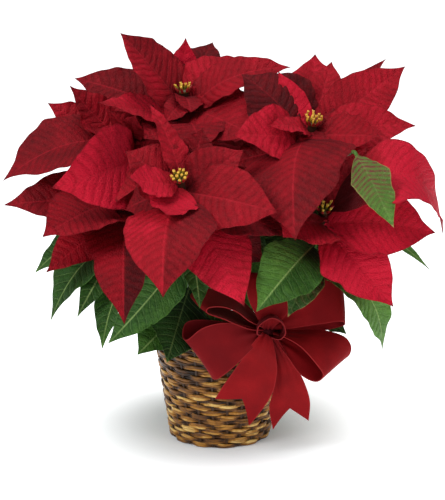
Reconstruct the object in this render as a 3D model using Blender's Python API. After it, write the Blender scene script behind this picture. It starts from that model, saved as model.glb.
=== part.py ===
"""Poinsettia standing in its pot in a wicker basket, with a red ribbon bow tied to the rim.

Metres, +Z up. The origin is the middle of the basket's underside, and the bow faces -Y.
Lengths and places below are written in millimetres and turned into metres by MM.
"""
import math

import bmesh
import bpy
import numpy as np
from mathutils import Vector
from mathutils.bvhtree import BVHTree

MM = 0.001
GAP = 0.3
SHARP_ANGLE = math.radians(24)

# Wicker basket
BASKET_HEIGHT = 115.0
BASKET_FOOT_RADIUS = 52.0
BASKET_RIM_RADIUS = 69.0
BASKET_WALL = 4.0
BASKET_FLOOR = 4.0
WEAVE_ROWS = 10
WEAVE_COLUMNS = 16
STRAND_OVER = 1.3
STRAND_UNDER = 0.45
ROW_GROOVE = 0.4
RIM_ROLL = 1.0

# Grower's pot and its soil
POT_FOOT_RADIUS = 44.0
POT_RIM_RADIUS = 58.5
POT_HEIGHT = 100.0
POT_WALL = 1.6
POT_LIP = 2.0
LIP_HEIGHT = 8.0
POT_SIDES = 16
DRAIN_RADIUS = 4.0
DRAIN_CIRCLE = 28.0
DRAINS = 4
HOLE_SIDES = 8
SOIL_TOP = 94.0
SOIL_CROWN = 3.0

# Stems
TRUNK_RADIUS = 4.6
TRUNK_TOP_RADIUS = 4.1
TRUNK_FOOT = 58.0
TRUNK_TOP = 128.0
BRANCH_FOOT_RADIUS = 3.6
BRANCH_TOP_RADIUS = 3.0
BRANCH_PLACES = (0.0, 0.25, 0.5, 0.75, 0.96, 1.0)
BRANCH_SPACING = 9.0
BRANCH_SUNK = 4.0
BRANCH_RISE = 45.0
HUB_LENGTH = 38.0
HUB_FOOT_RADIUS = 3.4
HUB_TOP_RADIUS = 5.2
STEM_SIDES = 6
HOLE_CLEARANCE = 0.8
CUT_PAST = 3.0

# Small flowers in the middle of each bloom
SEAT_RADIUS = 6.2
SEAT_DEPTH = 2.0
SEAT_TOP = 1.5
CUP_RADIUS = 2.0
CUP_CIRCLE = 5.6
CUP_LEAN = 0.42
CUP_HALF_LENGTH = 4.2
TALL_CUP_HALF_LENGTH = 5.2
TALL_CUPS = "D"
RING_OF_FOUR = 4
RING_OF_SIX = 6
FULL_RINGS = "BD"

# Blades: bracts and leaves
BLADE_THICKNESS = 1.0
TIP_THICKNESS = 0.7
STALK_HALF_WIDTH = 1.5
STALK_THICKNESS = 2.2
STALK_SHARE = 0.12
LARGE_STATIONS = (0.0, 0.16, 0.40, 0.62, 0.84, 1.0)
MIDDLE_STATIONS = (0.0, 0.2, 0.45, 0.75, 1.0)
SMALL_STATIONS = (0.0, 0.24, 0.6, 1.0)
MIDDLE_BLADE = 140.0
SMALL_BLADE = 94.0
FULLNESS = 1.15
RIB_SKEW = 0.42
FOLD = 0.16
WAVE = 2.2
SHOULDER = 0.16
SHOULDER_PLACE = 0.41
SHOULDER_SPAN = 0.12
CLEARANCE = 0.7
BODY_CLEARANCE = 0.2
EXTRA_BEND = 2.5

# Ribbon bow and the wire that holds it
RIBBON_THICKNESS = 1.2
RIBBON_STEPS = 8
TAIL_STEPS = 5
KNOT_CENTRE = (48.0, -90.0, 142.0)
KNOT_RADII = (8.5, 7.0, 7.5)
WIRE_RADIUS = 1.0
WIRE_SIDES = 5
WIRE_ROUTE = (
    (47, -82.4, 142),
    (46, -72, 141),
    (44, -60, 137),
    (38, -45, 125),
    (31, -33, 107),
    (31, -33, 97),
    (31, -33, 66),
)

# Each cutting stands in the soil at its own foot and carries three blooms
CUTTINGS = {
    "left": ((-28, -12), "CFB"),
    "middle": ((-2, 24), "AGH"),
    "right": ((28, -4), "DEI"),
}

# Each bloom: the middle of its small flowers, and the way it faces
BLOOMS = {
    "A": ((-38, 35, 365), (-0.10, -0.10, 1.0)),
    "B": ((-40, -105, 306), (-0.10, -0.55, 0.84)),
    "C": ((-97, 14, 330), (-0.25, 0.10, 0.96)),
    "D": ((95, -25, 344), (0.12, -0.25, 0.96)),
    "E": ((104, -95, 272), (0.10, -0.55, 0.83)),
    "F": ((-106, -20, 274), (-0.35, -0.35, 0.87)),
    "G": ((34, 130, 302), (0.05, 0.40, 0.92)),
    "H": ((-95, 118, 285), (-0.35, 0.45, 0.82)),
    "I": ((118, 108, 292), (0.38, 0.40, 0.83)),
}

# Bracts that face the front: bloom, depth of the root below the flowers, tip, width,
# height of the arch, the way the upper face looks, and whether it has a shoulder
FRONT_BRACTS = (
    ("D", 18, (74, -150, 255), 86, 24, (-0.15, -0.75, 0.65), 1),
    ("B", 28, (-55, -188, 208), 76, 28, (-0.28, -0.88, 0.40), 0),
    ("B", 34, (24, -166, 192), 62, 14, (0.15, -0.75, 0.65), 0),
    ("C", 34, (-167, -112, 298), 71, 24, (-0.1, -1.00, 0.15), 0),
    ("E", 20, (228, -55, 234), 63, 85, (-0.06, -0.58, 0.82), 1),
    ("C", 26, (-60, 70, 368), 46, 5, (0.1, -0.80, 0.60), 0),
    ("A", 24, (-103, 25, 428), 58, 8, (0.45, -0.70, 0.50), 0),
    ("A", 18, (-125, -30, 367), 38, 5, (0.0, -0.45, 0.90), 0),
    ("A", 10, (-36, 58, 417), 28, 2, (0.1, -1.00, 0.20), 0),
    ("A", 22, (-8, 100, 404), 42, 30, (0.1, -0.35, 1.00), 0),
    ("A", 28, (74, 40, 389), 42, 23, (0.0, -0.50, 0.85), 0),
    ("A", 20, (42, -42, 330), 62, 12, (0.1, -0.75, 0.65), 0),
    ("A", 32, (-78, -35, 330), 46, 6, (-0.1, -0.80, 0.60), 0),
    ("A", 34, (-17, -66, 322), 52, 10, (0.1, -0.80, 0.55), 0),
    ("A", 12, (-58, -14, 338), 22, 4, (0.0, -0.85, 0.50), 0),
    ("D", 24, (13, -75, 343), 54, 7, (0.0, -0.75, 0.65), 0),
    ("D", 16, (60, 10, 391), 24, 6, (-0.3, -0.50, 0.85), 0),
    ("D", 22, (193, 35, 391), 48, 6, (0.0, -0.85, 0.50), 0),
    ("D", 26, (176, 80, 390), 24, 6, (0.2, 0.00, 1.00), 0),
    ("D", 30, (201, -20, 340), 45, 20, (0.1, -0.70, 0.70), 0),
    ("D", 16, (100, 60, 399), 54, 3, (0.1, -0.90, 0.40), 0),
    ("D", 20, (70, 62, 377), 34, 4, (-0.2, -0.80, 0.50), 0),
    ("D", 8, (119, 10, 364), 16, 5, (0.2, -0.30, 0.90), 0),
    ("D", 12, (50, -60, 349), 24, 5, (-0.1, -0.60, 0.80), 0),
    ("D", 14, (160, -70, 341), 42, 6, (0.1, -0.70, 0.70), 1),
    ("B", 8, (-89, -135, 315), 34, 7, (0.0, -0.65, 0.75), 0),
    ("B", 9, (-52, -158, 283), 40, 10, (0.0, -0.80, 0.60), 0),
    ("B", 20, (57, -142, 281), 56, 6, (0.0, -0.85, 0.52), 0),
    ("B", 34, (72, -124, 250), 56, 8, (-0.1, -0.80, 0.60), 0),
    ("B", 22, (-94, -95, 331), 52, 5, (0.1, -0.75, 0.65), 0),
    ("B", 16, (-71, -60, 372), 24, 4, (0.8, -0.60, 0.10), 0),
    ("B", 18, (-17, -70, 349), 44, 5, (-0.3, -0.80, 0.50), 0),
    ("B", 24, (24, -92, 332), 42, 7, (-0.1, -0.75, 0.65), 0),
    ("A", 34, (54, 22, 345), 50, 6, (0.0, -0.80, 0.60), 0),
    ("C", 22, (-224, -20, 282), 66, 27, (-0.3, -0.50, 0.80), 0),
    ("C", 20, (-180, 30, 353), 44, 7, (-0.1, -0.60, 0.80), 0),
    ("C", 16, (-157, 10, 375), 42, 4, (0.0, -0.80, 0.60), 0),
    ("A", 30, (-154, 70, 371), 46, 10, (0.0, -0.80, 0.60), 0),
    ("C", 24, (-50, 16, 345), 44, 4, (0.1, -0.80, 0.60), 0),
    ("A", 36, (-40, -46, 332), 46, 5, (0.0, -0.85, 0.50), 0),
    ("D", 36, (10, -38, 304), 50, 5, (0.0, -0.80, 0.60), 0),
    ("C", 8, (-142, -25, 344), 20, 4, (0.0, -0.60, 0.80), 0),
    ("C", 7, (-116, -22, 358), 26, 3, (0.0, -0.90, 0.40), 0),
    ("C", 10, (-62, -24, 345), 34, 4, (0.1, -0.70, 0.70), 0),
    ("F", 30, (-94, -165, 173), 54, 16, (-0.1, -0.95, 0.25), 1),
    ("F", 24, (-221, -50, 264), 54, 8, (-0.2, -0.60, 0.75), 0),
    ("F", 20, (-176, -125, 251), 60, 10, (-0.2, -0.75, 0.65), 0),
    ("F", 28, (-176, -90, 204), 42, 14, (-0.3, -0.90, 0.25), 0),
    ("F", 12, (-70, -115, 280), 34, 6, (0.1, -0.80, 0.60), 0),
    ("E", 28, (174, -120, 177), 52, 12, (-0.1, -0.75, 0.65), 1),
    ("E", 24, (218, -80, 243), 62, 10, (0.0, -0.75, 0.65), 0),
    ("C", 27, (-104, -84, 276), 58, 10, (0.0, -0.85, 0.50), 0),
    ("E", 22, (62, -140, 255), 60, 8, (0.0, -0.70, 0.70), 0),
    ("E", 10, (92, -128, 268), 18, 4, (0.0, -0.70, 0.70), 0),
    ("E", 12, (138, -88, 336), 26, 3, (0.0, -0.90, 0.40), 0),
    ("C", 8, (-84, -18, 360), 26, 3, (0.1, -0.90, 0.40), 0),
    ("A", 6, (-30, -2, 350), 26, 3, (0.0, -0.80, 0.60), 0),
    ("G", 24, (-62, 84, 308), 64, 4, (0.0, -0.90, 0.40), 0),
    ("G", 30, (-12, 92, 258), 58, 4, (0.0, -0.90, 0.40), 0),
    ("I", 24, (178, 84, 284), 54, 4, (0.0, -0.90, 0.40), 0),
    ("I", 32, (112, 66, 216), 56, 4, (0.0, -0.90, 0.40), 0),
    ("A", 26, (28, 80, 389), 44, 22, (0.0, -0.50, 0.90), 0),
    ("D", 7, (98, -62, 328), 24, 3, (0.0, -0.80, 0.60), 0),
    ("D", 24, (22, 10, 388), 68, 10, (0.0, -0.50, 0.85), 0),
    ("D", 20, (117, 50, 393), 40, 5, (0.0, -0.80, 0.50), 0),
    ("B", 32, (-94, -90, 268), 44, 4, (0.0, -0.90, 0.40), 0),
    ("B", 34, (45, -70, 209), 52, 6, (0.0, -0.90, 0.40), 0),
)

# Bracts by rule round the hidden sides: bloom, depth of the root, first and last bearing,
# how many, length, width, and the slope of the bract above the level
REAR_BRACTS = (
    ("A", 26, 60, 150, 2, 72, 40, 14),
    ("C", 28, 80, 140, 2, 74, 42, 0),
    ("D", 28, 20, 60, 2, 92, 44, 6),
    ("E", 26, 10, 50, 2, 70, 38, 0),
    ("F", 26, 100, 130, 2, 66, 38, 0),
    ("G", 30, 20, 180, 3, 92, 54, 0),
    ("G", 12, 60, 240, 2, 46, 28, 18),
    ("H", 30, 45, 270, 4, 92, 54, -8),
    ("H", 12, 90, 270, 2, 46, 28, 12),
    ("I", 30, 10, 145, 3, 92, 54, -8),
    ("I", 12, -20, 160, 2, 46, 28, 12),
)

# Leaves that show: cutting, branch, place along it, tip, width, arch, upper face, shoulder
FRONT_LEAVES = (
    ("E", 0.88, (36, -158, 184), 52, 12, (-0.1, -0.90, 0.40), 0),
    ("E", 0.74, (68, -122, 167), 34, 8, (0.2, -0.90, 0.30), 0),
    ("E", 0.70, (168, -58, 110), 44, 22, (0.75, -0.60, 0.30), 0),
    ("E", 0.48, (131, -58, 128), 32, 8, (0.4, -0.80, 0.40), 0),
    ("E", 0.86, (175, -60, 205), 36, 8, (0.3, -0.80, 0.50), 1),
    ("D", 0.62, (219, -30, 188), 20, 26, (0.3, -0.40, 0.85), 0),
    ("D", 0.84, (169, -165, 272), 29, 6, (0.0, -0.75, 0.65), 1),
    ("F", 0.86, (-193, -20, 183), 42, 24, (-0.5, -0.60, 0.65), 0),
    ("F", 0.74, (-174, -70, 146), 54, 36, (-0.6, -0.70, 0.45), 0),
    ("F", 0.92, (-145, -95, 158), 30, 8, (-0.3, -0.90, 0.30), 0),
    ("F", 0.60, (-119, -112, 130), 44, 22, (-0.6, -0.70, 0.40), 0),
    ("B", 0.66, (-114, -98, 131), 42, 8, (0.1, -0.90, 0.50), 0),
    ("B", 0.42, (-52, -120, 126), 46, 8, (0.0, -0.90, 0.40), 1),
    ("B", 0.30, (-84, -104, 121), 46, 8, (-0.1, -0.90, 0.40), 0),
    ("B", 0.84, (-20, -128, 178), 34, 8, (0.1, -0.90, 0.40), 0),
    ("C", 0.80, (-186, 0, 268), 40, 8, (-0.1, -0.60, 0.80), 0),
    ("A", 0.70, (46, -76, 226), 60, 8, (0.0, -0.95, 0.30), 0),
    ("D", 0.74, (60, -62, 190), 62, 6, (0.0, -0.95, 0.30), 0),
    ("G", 0.46, (34, 30, 126), 66, 4, (0.0, -0.95, 0.30), 0),
    ("G", 0.40, (-22, 40, 116), 50, 4, (0.0, -0.95, 0.30), 0),
    ("H", 0.45, (-35, 10, 119), 44, 4, (0.0, -0.95, 0.30), 0),
    ("I", 0.75, (113, 30, 169), 42, 4, (0.0, -0.95, 0.30), 0),
)

# Leaves that hang from a long stalk: the number of the leaf above, and where its stalk leads
LONG_STALKS = {6: ((112, -42, 312), (126, -72, 322), (132, -100, 332), (133, -121, 336))}
LONG_STALK_RADIUS = 1.8
STALK_SUNK = 4.0

# Blades whose halves slope down from the rib; in the others they rise from it
FOLDS = {"front_0": -0.08, "front_1": -0.18, "front_2": -0.08}

# Leaves by rule: branch, first and last place along it, first bearing, turn between
# leaves, how many, length, width and slope
REAR_LEAVES = (
    ("A", 0.60, 0.90, 70, 137, 2, 88, 42, -12),
    ("C", 0.60, 0.92, 110, 70, 2, 92, 44, -18),
    ("D", 0.50, 0.86, -10, 75, 2, 92, 44, -16),
    ("G", 0.56, 0.94, 35, 62, 3, 100, 48, -26),
    ("H", 0.50, 0.94, 100, 50, 4, 100, 48, -26),
    ("I", 0.50, 0.94, -20, 50, 4, 100, 48, -26),
)

# Bow: the two edges of each loop, from the knot round and back to it, and of each tail
BOW_LOOPS = {
    "upper_left": (
        ((44, -97, 148), (30, -105, 157), (17, -108, 168), (3, -108, 173), (-11, -107, 172),
         (-12, -107, 166), (4, -107, 160), (16, -106, 154), (30, -103, 148), (44, -96, 144)),
        ((44, -84, 148), (28, -70, 163), (12, -64, 174), (-8, -62, 178), (-26, -61, 175),
         (-29, -61, 168), (-10, -63, 163), (10, -66, 157), (28, -74, 150), (44, -84, 145)),
    ),
    "lower_left": (
        ((42, -95, 145), (22, -101, 152), (2, -104, 155), (-18, -106, 150), (-33, -106, 138),
         (-38, -97, 140), (-34, -86, 150), (-16, -84, 152), (14, -86, 149), (42, -87, 145)),
        ((44, -97, 136), (34, -103, 128), (20, -107, 115), (8, -108, 104), (-3, -107, 96),
         (-8, -98, 96), (0, -89, 106), (14, -87, 118), (30, -87, 131), (44, -87, 138)),
    ),
    "upper_middle": (
        ((44, -96, 146), (36, -101, 163), (28, -101, 182), (28, -93, 199), (31, -83, 202),
         (34, -77, 192), (39, -76, 170), (44, -84, 148)),
        ((53, -96, 146), (66, -101, 162), (78, -100, 180), (80, -92, 197), (76, -83, 199),
         (70, -77, 189), (60, -77, 168), (53, -84, 148)),
    ),
    "upper_right": (
        ((54, -95, 145), (72, -94, 146), (98, -91, 149), (122, -87, 151), (128, -78, 146),
         (123, -68, 139), (98, -69, 134), (74, -73, 134), (54, -84, 139)),
        ((50, -92, 153), (72, -89, 176), (94, -81, 190), (118, -72, 194), (124, -63, 190),
         (118, -56, 186), (96, -58, 180), (72, -68, 166), (50, -84, 150)),
    ),
    "lower_right": (
        ((54, -97, 142), (67, -103, 139), (82, -109, 131), (96, -112, 116), (105, -110, 101),
         (97, -106, 93), (82, -101, 99), (68, -97, 117), (54, -93, 134)),
        ((54, -86, 141), (80, -80, 139), (106, -76, 138), (128, -73, 130), (135, -72, 117),
         (128, -72, 107), (106, -75, 116), (79, -80, 129), (54, -86, 137)),
    ),
    "centre": (
        ((44, -96, 140), (38, -110, 145), (40, -116, 156), (52, -117, 164), (63, -116, 158),
         (66, -114, 147), (60, -109, 139), (50, -96, 138)),
        ((44, -86, 141), (40, -84, 147), (43, -83, 157), (52, -83, 163), (62, -83, 157),
         (64, -84, 148), (59, -85, 141), (50, -87, 139)),
    ),
}
BOW_TAILS = {
    "left": (
        ((43, -97, 143), (33, -103, 133), (24, -101, 118), (14, -96, 101), (4, -90, 84), (-5, -85, 67)),
        ((53, -99, 138), (57, -102, 118), (58, -98, 100), (55, -94, 80), (46, -88, 60), (30, -82, 36)),
    ),
    "right": (
        ((46, -92, 137), (54, -90, 118), (57, -88, 98), (55, -84, 76), (51, -79, 55), (55, -74, 29)),
        ((57, -95, 138), (68, -96, 120), (80, -91, 100), (88, -87, 82), (93, -82, 62), (92, -77, 40)),
    ),
}
TAIL_NOTCH = 0.16

# Colours as they look in daylight
COLOURS = {
    "bract": (0.42, 0.010, 0.022, 0.62),
    "leaf": (0.045, 0.130, 0.030, 0.50),
    "flower": (0.42, 0.33, 0.035, 0.45),
    "wicker": (0.42, 0.25, 0.09, 0.45),
    "pot": (0.020, 0.020, 0.020, 0.55),
    "soil": (0.035, 0.022, 0.014, 0.95),
    "ribbon": (0.30, 0.008, 0.012, 0.70),
    "wire": (0.05, 0.12, 0.05, 0.45),
}


def clear_scene():
    for thing in list(bpy.data.objects):
        bpy.data.objects.remove(thing, do_unlink=True)


def material(name):
    made = bpy.data.materials.get(name)
    if made:
        return made
    made = bpy.data.materials.new(name)
    made.use_nodes = True
    red, green, blue, roughness = COLOURS[name]
    shader = made.node_tree.nodes["Principled BSDF"]
    shader.inputs["Base Color"].default_value = (red, green, blue, 1.0)
    shader.inputs["Roughness"].default_value = roughness
    shader.inputs["Metallic"].default_value = 0.0
    made.diffuse_color = (red, green, blue, 1.0)
    return made


def solid_object(name, points, faces, colour):
    """One closed solid, its places given in millimetres."""
    mesh = bpy.data.meshes.new(name)
    mesh.from_pydata([tuple(MM * c for c in p) for p in points], [], faces)
    shape = bmesh.new()
    shape.from_mesh(mesh)
    bmesh.ops.recalc_face_normals(shape, faces=shape.faces)
    shape.to_mesh(mesh)
    shape.free()
    shade(mesh)
    mesh.materials.append(material(colour))
    thing = bpy.data.objects.new(name, mesh)
    bpy.context.scene.collection.objects.link(thing)
    return thing


def shade(mesh):
    """Smooth shading that keeps the real edges sharp."""
    mesh.shade_smooth()
    mesh.set_sharp_from_angle(angle=SHARP_ANGLE)


def fuse(name, solids, colour):
    """Joins the first solid with all the others in one Boolean union on a collection."""
    core = solid_object(name, *solids[0], colour)
    others = bpy.data.collections.new(name + "_pieces")
    bpy.context.scene.collection.children.link(others)
    for number, (points, faces) in enumerate(solids[1:]):
        piece = solid_object(f"{name}_piece_{number}", points, faces, colour)
        bpy.context.scene.collection.objects.unlink(piece)
        others.objects.link(piece)
    union = core.modifiers.new("union", "BOOLEAN")
    union.operation = "UNION"
    union.operand_type = "COLLECTION"
    union.collection = others
    union.solver = "EXACT"
    graph = bpy.context.evaluated_depsgraph_get()
    joined = bpy.data.meshes.new_from_object(core.evaluated_get(graph))
    core.modifiers.clear()
    core.data = joined
    for piece in list(others.objects):
        bpy.data.objects.remove(piece, do_unlink=True)
    bpy.data.collections.remove(others)
    keep_largest_body(core)
    return core


def keep_largest_body(thing):
    """Drops loose scraps that a union leaves, keeping the body with the most faces."""
    shape = bmesh.new()
    shape.from_mesh(thing.data)
    bmesh.ops.triangulate(shape, faces=shape.faces)
    left = set(shape.faces)
    bodies = []
    while left:
        body = set()
        front = [left.pop()]
        while front:
            face = front.pop()
            body.add(face)
            for edge in face.edges:
                for beside in edge.link_faces:
                    if beside in left:
                        left.remove(beside)
                        front.append(beside)
        bodies.append(body)
    bodies.sort(key=len, reverse=True)
    for body in bodies[1:]:
        bmesh.ops.delete(shape, geom=list(body), context="FACES")
    loose = [v for v in shape.verts if not v.link_faces]
    bmesh.ops.delete(shape, geom=loose, context="VERTS")
    shape.to_mesh(thing.data)
    shape.free()
    shade(thing.data)


def unit(vector):
    vector = np.asarray(vector, float)
    return vector / np.linalg.norm(vector)


def bezier(points, t):
    """A point of the smooth curve that four points steer."""
    a, b, c, d = points
    return (1 - t) ** 3 * a + 3 * (1 - t) ** 2 * t * b + 3 * (1 - t) * t ** 2 * c + t ** 3 * d


def through(points, t):
    """A point of the smooth curve that runs through all the points, t from 0 to 1."""
    points = np.asarray(points, float)
    last = len(points) - 1
    place = min(max(t, 0.0), 1.0) * last
    k = min(int(place), last - 1)
    f = place - k
    p1, p2 = points[k], points[k + 1]
    p0 = points[k - 1] if k > 0 else 2 * p1 - p2
    p3 = points[k + 2] if k + 2 <= last else 2 * p2 - p1
    return 0.5 * (2 * p1 + (p2 - p0) * f + (2 * p0 - 5 * p1 + 4 * p2 - p3) * f ** 2
                  + (3 * p1 - p0 - 3 * p2 + p3) * f ** 3)


def tube(centres, radii, sides):
    """A closed tube round a row of points, with flat ends."""
    centres = [np.asarray(c, float) for c in centres]
    points, faces = [], []
    side = unit(np.cross(unit(centres[1] - centres[0]), (0.31, 0.83, 0.46)))
    for k, centre in enumerate(centres):
        ahead = centres[min(k + 1, len(centres) - 1)] - centres[max(k - 1, 0)]
        ahead = unit(ahead)
        side = unit(side - ahead * np.dot(side, ahead))
        other = np.cross(ahead, side)
        for n in range(sides):
            angle = 2 * math.pi * n / sides
            points.append(centre + radii[k] * (math.cos(angle) * side + math.sin(angle) * other))
    for k in range(len(centres) - 1):
        for n in range(sides):
            a, b = k * sides + n, k * sides + (n + 1) % sides
            faces.append((a, b, b + sides, a + sides))
    faces.append(tuple(reversed(range(sides))))
    faces.append(tuple(range(len(points) - sides, len(points))))
    return points, faces


def turned(profiles):
    """A closed turned solid with flat ends, one profile of radii and heights for each side."""
    points, faces = [], []
    sides, count = len(profiles), len(profiles[0])
    for n, profile in enumerate(profiles):
        angle = 2 * math.pi * n / sides
        points += [(r * math.cos(angle), r * math.sin(angle), height) for r, height in profile]
    for n in range(sides):
        a, b = n * count, ((n + 1) % sides) * count
        faces += [(a + k, b + k, b + k + 1, a + k + 1) for k in range(count - 1)]
    faces.append(tuple(n * count for n in reversed(range(sides))))
    faces.append(tuple(n * count + count - 1 for n in range(sides)))
    return points, faces


class Blade:
    """A bract or leaf: a thin arched blade from its root to its tip, in millimetres."""

    def __init__(self, name, node, root, tip, width, arch, facing, shoulder, turn=0.0):
        self.name, self.node = name, node
        self.root, self.tip = np.asarray(root, float), np.asarray(tip, float)
        self.width, self.arch, self.shoulder, self.turn = width, arch, shoulder, turn
        self.facing = np.asarray(facing, float)
        self.phase = (len(name) * 0.37 + sum(map(ord, name)) * 0.61) % 1.0
        self.fold = FOLDS.get(name, FOLD)

    def frame(self):
        chord = unit(self.tip - self.root)
        up = unit(self.facing - chord * np.dot(self.facing, chord))
        side = np.cross(chord, up)
        angle = math.radians(self.turn)
        turned_up = up * math.cos(angle) - side * math.sin(angle)
        return turned_up, side * math.cos(angle) + up * math.sin(angle)

    def half_width(self, s):
        """Ovate outline with a wedge foot, a long point and sometimes a shoulder."""
        t = max(0.0, (s - STALK_SHARE * 0.5) / (1 - STALK_SHARE * 0.5))
        body = (t / 0.44) ** 0.75 * ((1 - t) / 0.56) ** 0.95 if 0 < t < 1 else 0.0
        nearness = max(0.0, 1 - abs(s - SHOULDER_PLACE) / SHOULDER_SPAN)
        body *= 1 + SHOULDER * self.shoulder * nearness
        return max(0.5 * FULLNESS * self.width * body, STALK_HALF_WIDTH * (1 - s))

    def point(self, s, u):
        """A point of the blade's middle surface and its normal, u from -1 to 1 across."""
        up, side = self.frame()
        middle = self.root + (self.tip - self.root) * RIB_SKEW + 2 * self.arch * up
        rib = (1 - s) ** 2 * self.root + 2 * s * (1 - s) * middle + s ** 2 * self.tip
        ahead = unit((1 - s) * (middle - self.root) + s * (self.tip - middle))
        normal = unit(np.cross(side, ahead))
        half = self.half_width(s)
        swell = math.sin(2 * math.pi * (1.6 * s + self.phase)) * WAVE * min(1.0, half / 12)
        rise = self.fold * abs(u) * half + swell * u * abs(u)
        return rib + side * (u * half) + normal * rise, normal

    def stations(self):
        length = np.linalg.norm(self.tip - self.root)
        if length < SMALL_BLADE:
            return SMALL_STATIONS
        return MIDDLE_STATIONS if length < MIDDLE_BLADE else LARGE_STATIONS

    def solid(self, extra=0.0, first=0):
        """The blade's closed solid, thicker by twice extra, from its station first on."""
        stations = self.stations()[first:]
        points, faces = [], []
        for s in stations[:-1]:
            stalk = max(0.0, 1 - s / STALK_SHARE)
            thick = BLADE_THICKNESS + (STALK_THICKNESS - BLADE_THICKNESS) * stalk
            for u in (-1, 0, 1):
                place, normal = self.point(s, u)
                reach = normal * (0.5 * thick + extra)
                points += [place + reach, place - reach]
        place, normal = self.point(1.0, 0)
        reach = normal * (0.5 * TIP_THICKNESS + extra)
        points += [place + reach, place - reach]
        rows = len(stations) - 1
        for r in range(rows - 1):
            a, b = 6 * r, 6 * (r + 1)
            for c in (0, 2):
                faces += [(a + c, a + c + 2, b + c + 2), (a + c, b + c + 2, b + c)]
                faces += [(a + c + 1, b + c + 3, a + c + 3), (a + c + 1, b + c + 1, b + c + 3)]
            faces += [(a, b, b + 1), (a, b + 1, a + 1)]
            faces += [(a + 4, a + 5, b + 5), (a + 4, b + 5, b + 4)]
        a, end = 6 * (rows - 1), 6 * rows
        for c in (0, 2):
            faces += [(a + c, a + c + 2, end), (a + c + 1, end + 1, a + c + 3)]
        faces += [(a, end, end + 1), (a, end + 1, a + 1)]
        faces += [(a + 4, a + 5, end + 1), (a + 4, end + 1, end)]
        faces += [(0, 1, 3), (0, 3, 2), (2, 3, 5), (2, 5, 4)]
        return points, faces

    def moved(self, shift, sideways, rise, turn, shorter):
        """The same blade bent: its tip pushed along and across its face, or drawn in."""
        up, side = self.frame()
        tip = self.root + (self.tip - self.root) * shorter + up * shift + side * sideways
        return Blade(self.name, self.node, self.root, tip, self.width * (0.5 + 0.5 * shorter),
                     self.arch + rise, self.facing, self.shoulder, self.turn + turn)


def bends():
    """Every bend that may be tried on a blade, the gentlest first."""
    tries = []
    for shift in (0, 6, -6, 12, -12, 20, -20, 30, -30):
        for sideways in (0, 8, -8):
            for rise in (0, 5, -5, 11, -11, 18, -18):
                for turn in (0, 13, -13, 26, -26):
                    for shorter in (1.0, 0.9, 0.78):
                        cost = (abs(shift) / 6 + abs(sideways) / 5 + abs(rise) / 6 + abs(turn) / 14
                                + (1 - shorter) * 22)
                        tries.append((cost, shift, sideways, rise, turn, shorter))
    tries.sort(key=lambda row: row[0])
    return tries


class Crowd:
    """What is already placed, to test a new blade against."""

    def __init__(self):
        self.members = []

    def add(self, node, points, faces):
        points = [Vector(p) for p in points]
        tree = BVHTree.FromPolygons(points, faces)
        low = np.min([tuple(p) for p in points], axis=0)
        high = np.max([tuple(p) for p in points], axis=0)
        self.members.append((node, tree, low, high))

    def strikes(self, points, faces, only=None, but=None):
        """How many placed solids the given one crosses."""
        low, high = np.min(points, axis=0), np.max(points, axis=0)
        tree = None
        hits = 0
        for node, other, a, b in self.members:
            if (only and node != only) or (but and node == but):
                continue
            if np.any(low > b) or np.any(high < a):
                continue
            if tree is None:
                tree = BVHTree.FromPolygons([Vector(p) for p in points], faces)
            if tree.overlap(other):
                hits += 1
        return hits


def settle(blade, crowd, bodies, tries):
    """Bends a blade clear of other nodes, and where it can of its own node's blades."""
    spare, limit = None, math.inf
    for cost, *bend in tries:
        if cost > limit:
            break
        bent = blade.moved(*bend)
        points, faces = bent.solid(extra=CLEARANCE)
        if crowd.strikes(points, faces, but=blade.node):
            continue
        body = bent.solid(extra=BODY_CLEARANCE, first=1)
        if not bodies.strikes(*body, only=blade.node):
            return bent
        if spare is None:
            spare, limit = bent, cost + EXTRA_BEND
    return spare


def bearing_tip(root, bearing, slope, length):
    """The place a length away from the root, on a bearing and a slope given in degrees."""
    a, b = math.radians(bearing), math.radians(slope)
    ahead = np.array((math.cos(a) * math.cos(b), math.sin(a) * math.cos(b), math.sin(b)))
    return root + length * ahead


def cutting_of(bloom):
    """The name of the cutting that carries a bloom, its foot and the bloom's place on it."""
    for name, ((x, y), carried) in CUTTINGS.items():
        if bloom in carried:
            return name, (x, y), carried.index(bloom)


def branch_point(bloom, t):
    """A point of the branch that carries a bloom, t from 0 at the trunk to 1 at the top."""
    centre, axis = BLOOMS[bloom]
    axis = unit(axis)
    _, (x, y), order = cutting_of(bloom)
    start = np.array((x, y, TRUNK_TOP - BRANCH_SUNK - BRANCH_SPACING * order))
    top = np.asarray(centre, float) - axis * (HUB_LENGTH + GAP)
    out = start + 0.25 * (top - start)
    return bezier((start, out, top - axis * BRANCH_RISE, top), t)


def bloom_point(bloom, depth):
    """A point of the stem inside a bloom, a depth below its small flowers."""
    centre, axis = BLOOMS[bloom]
    return np.asarray(centre, float) - unit(axis) * depth


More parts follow.
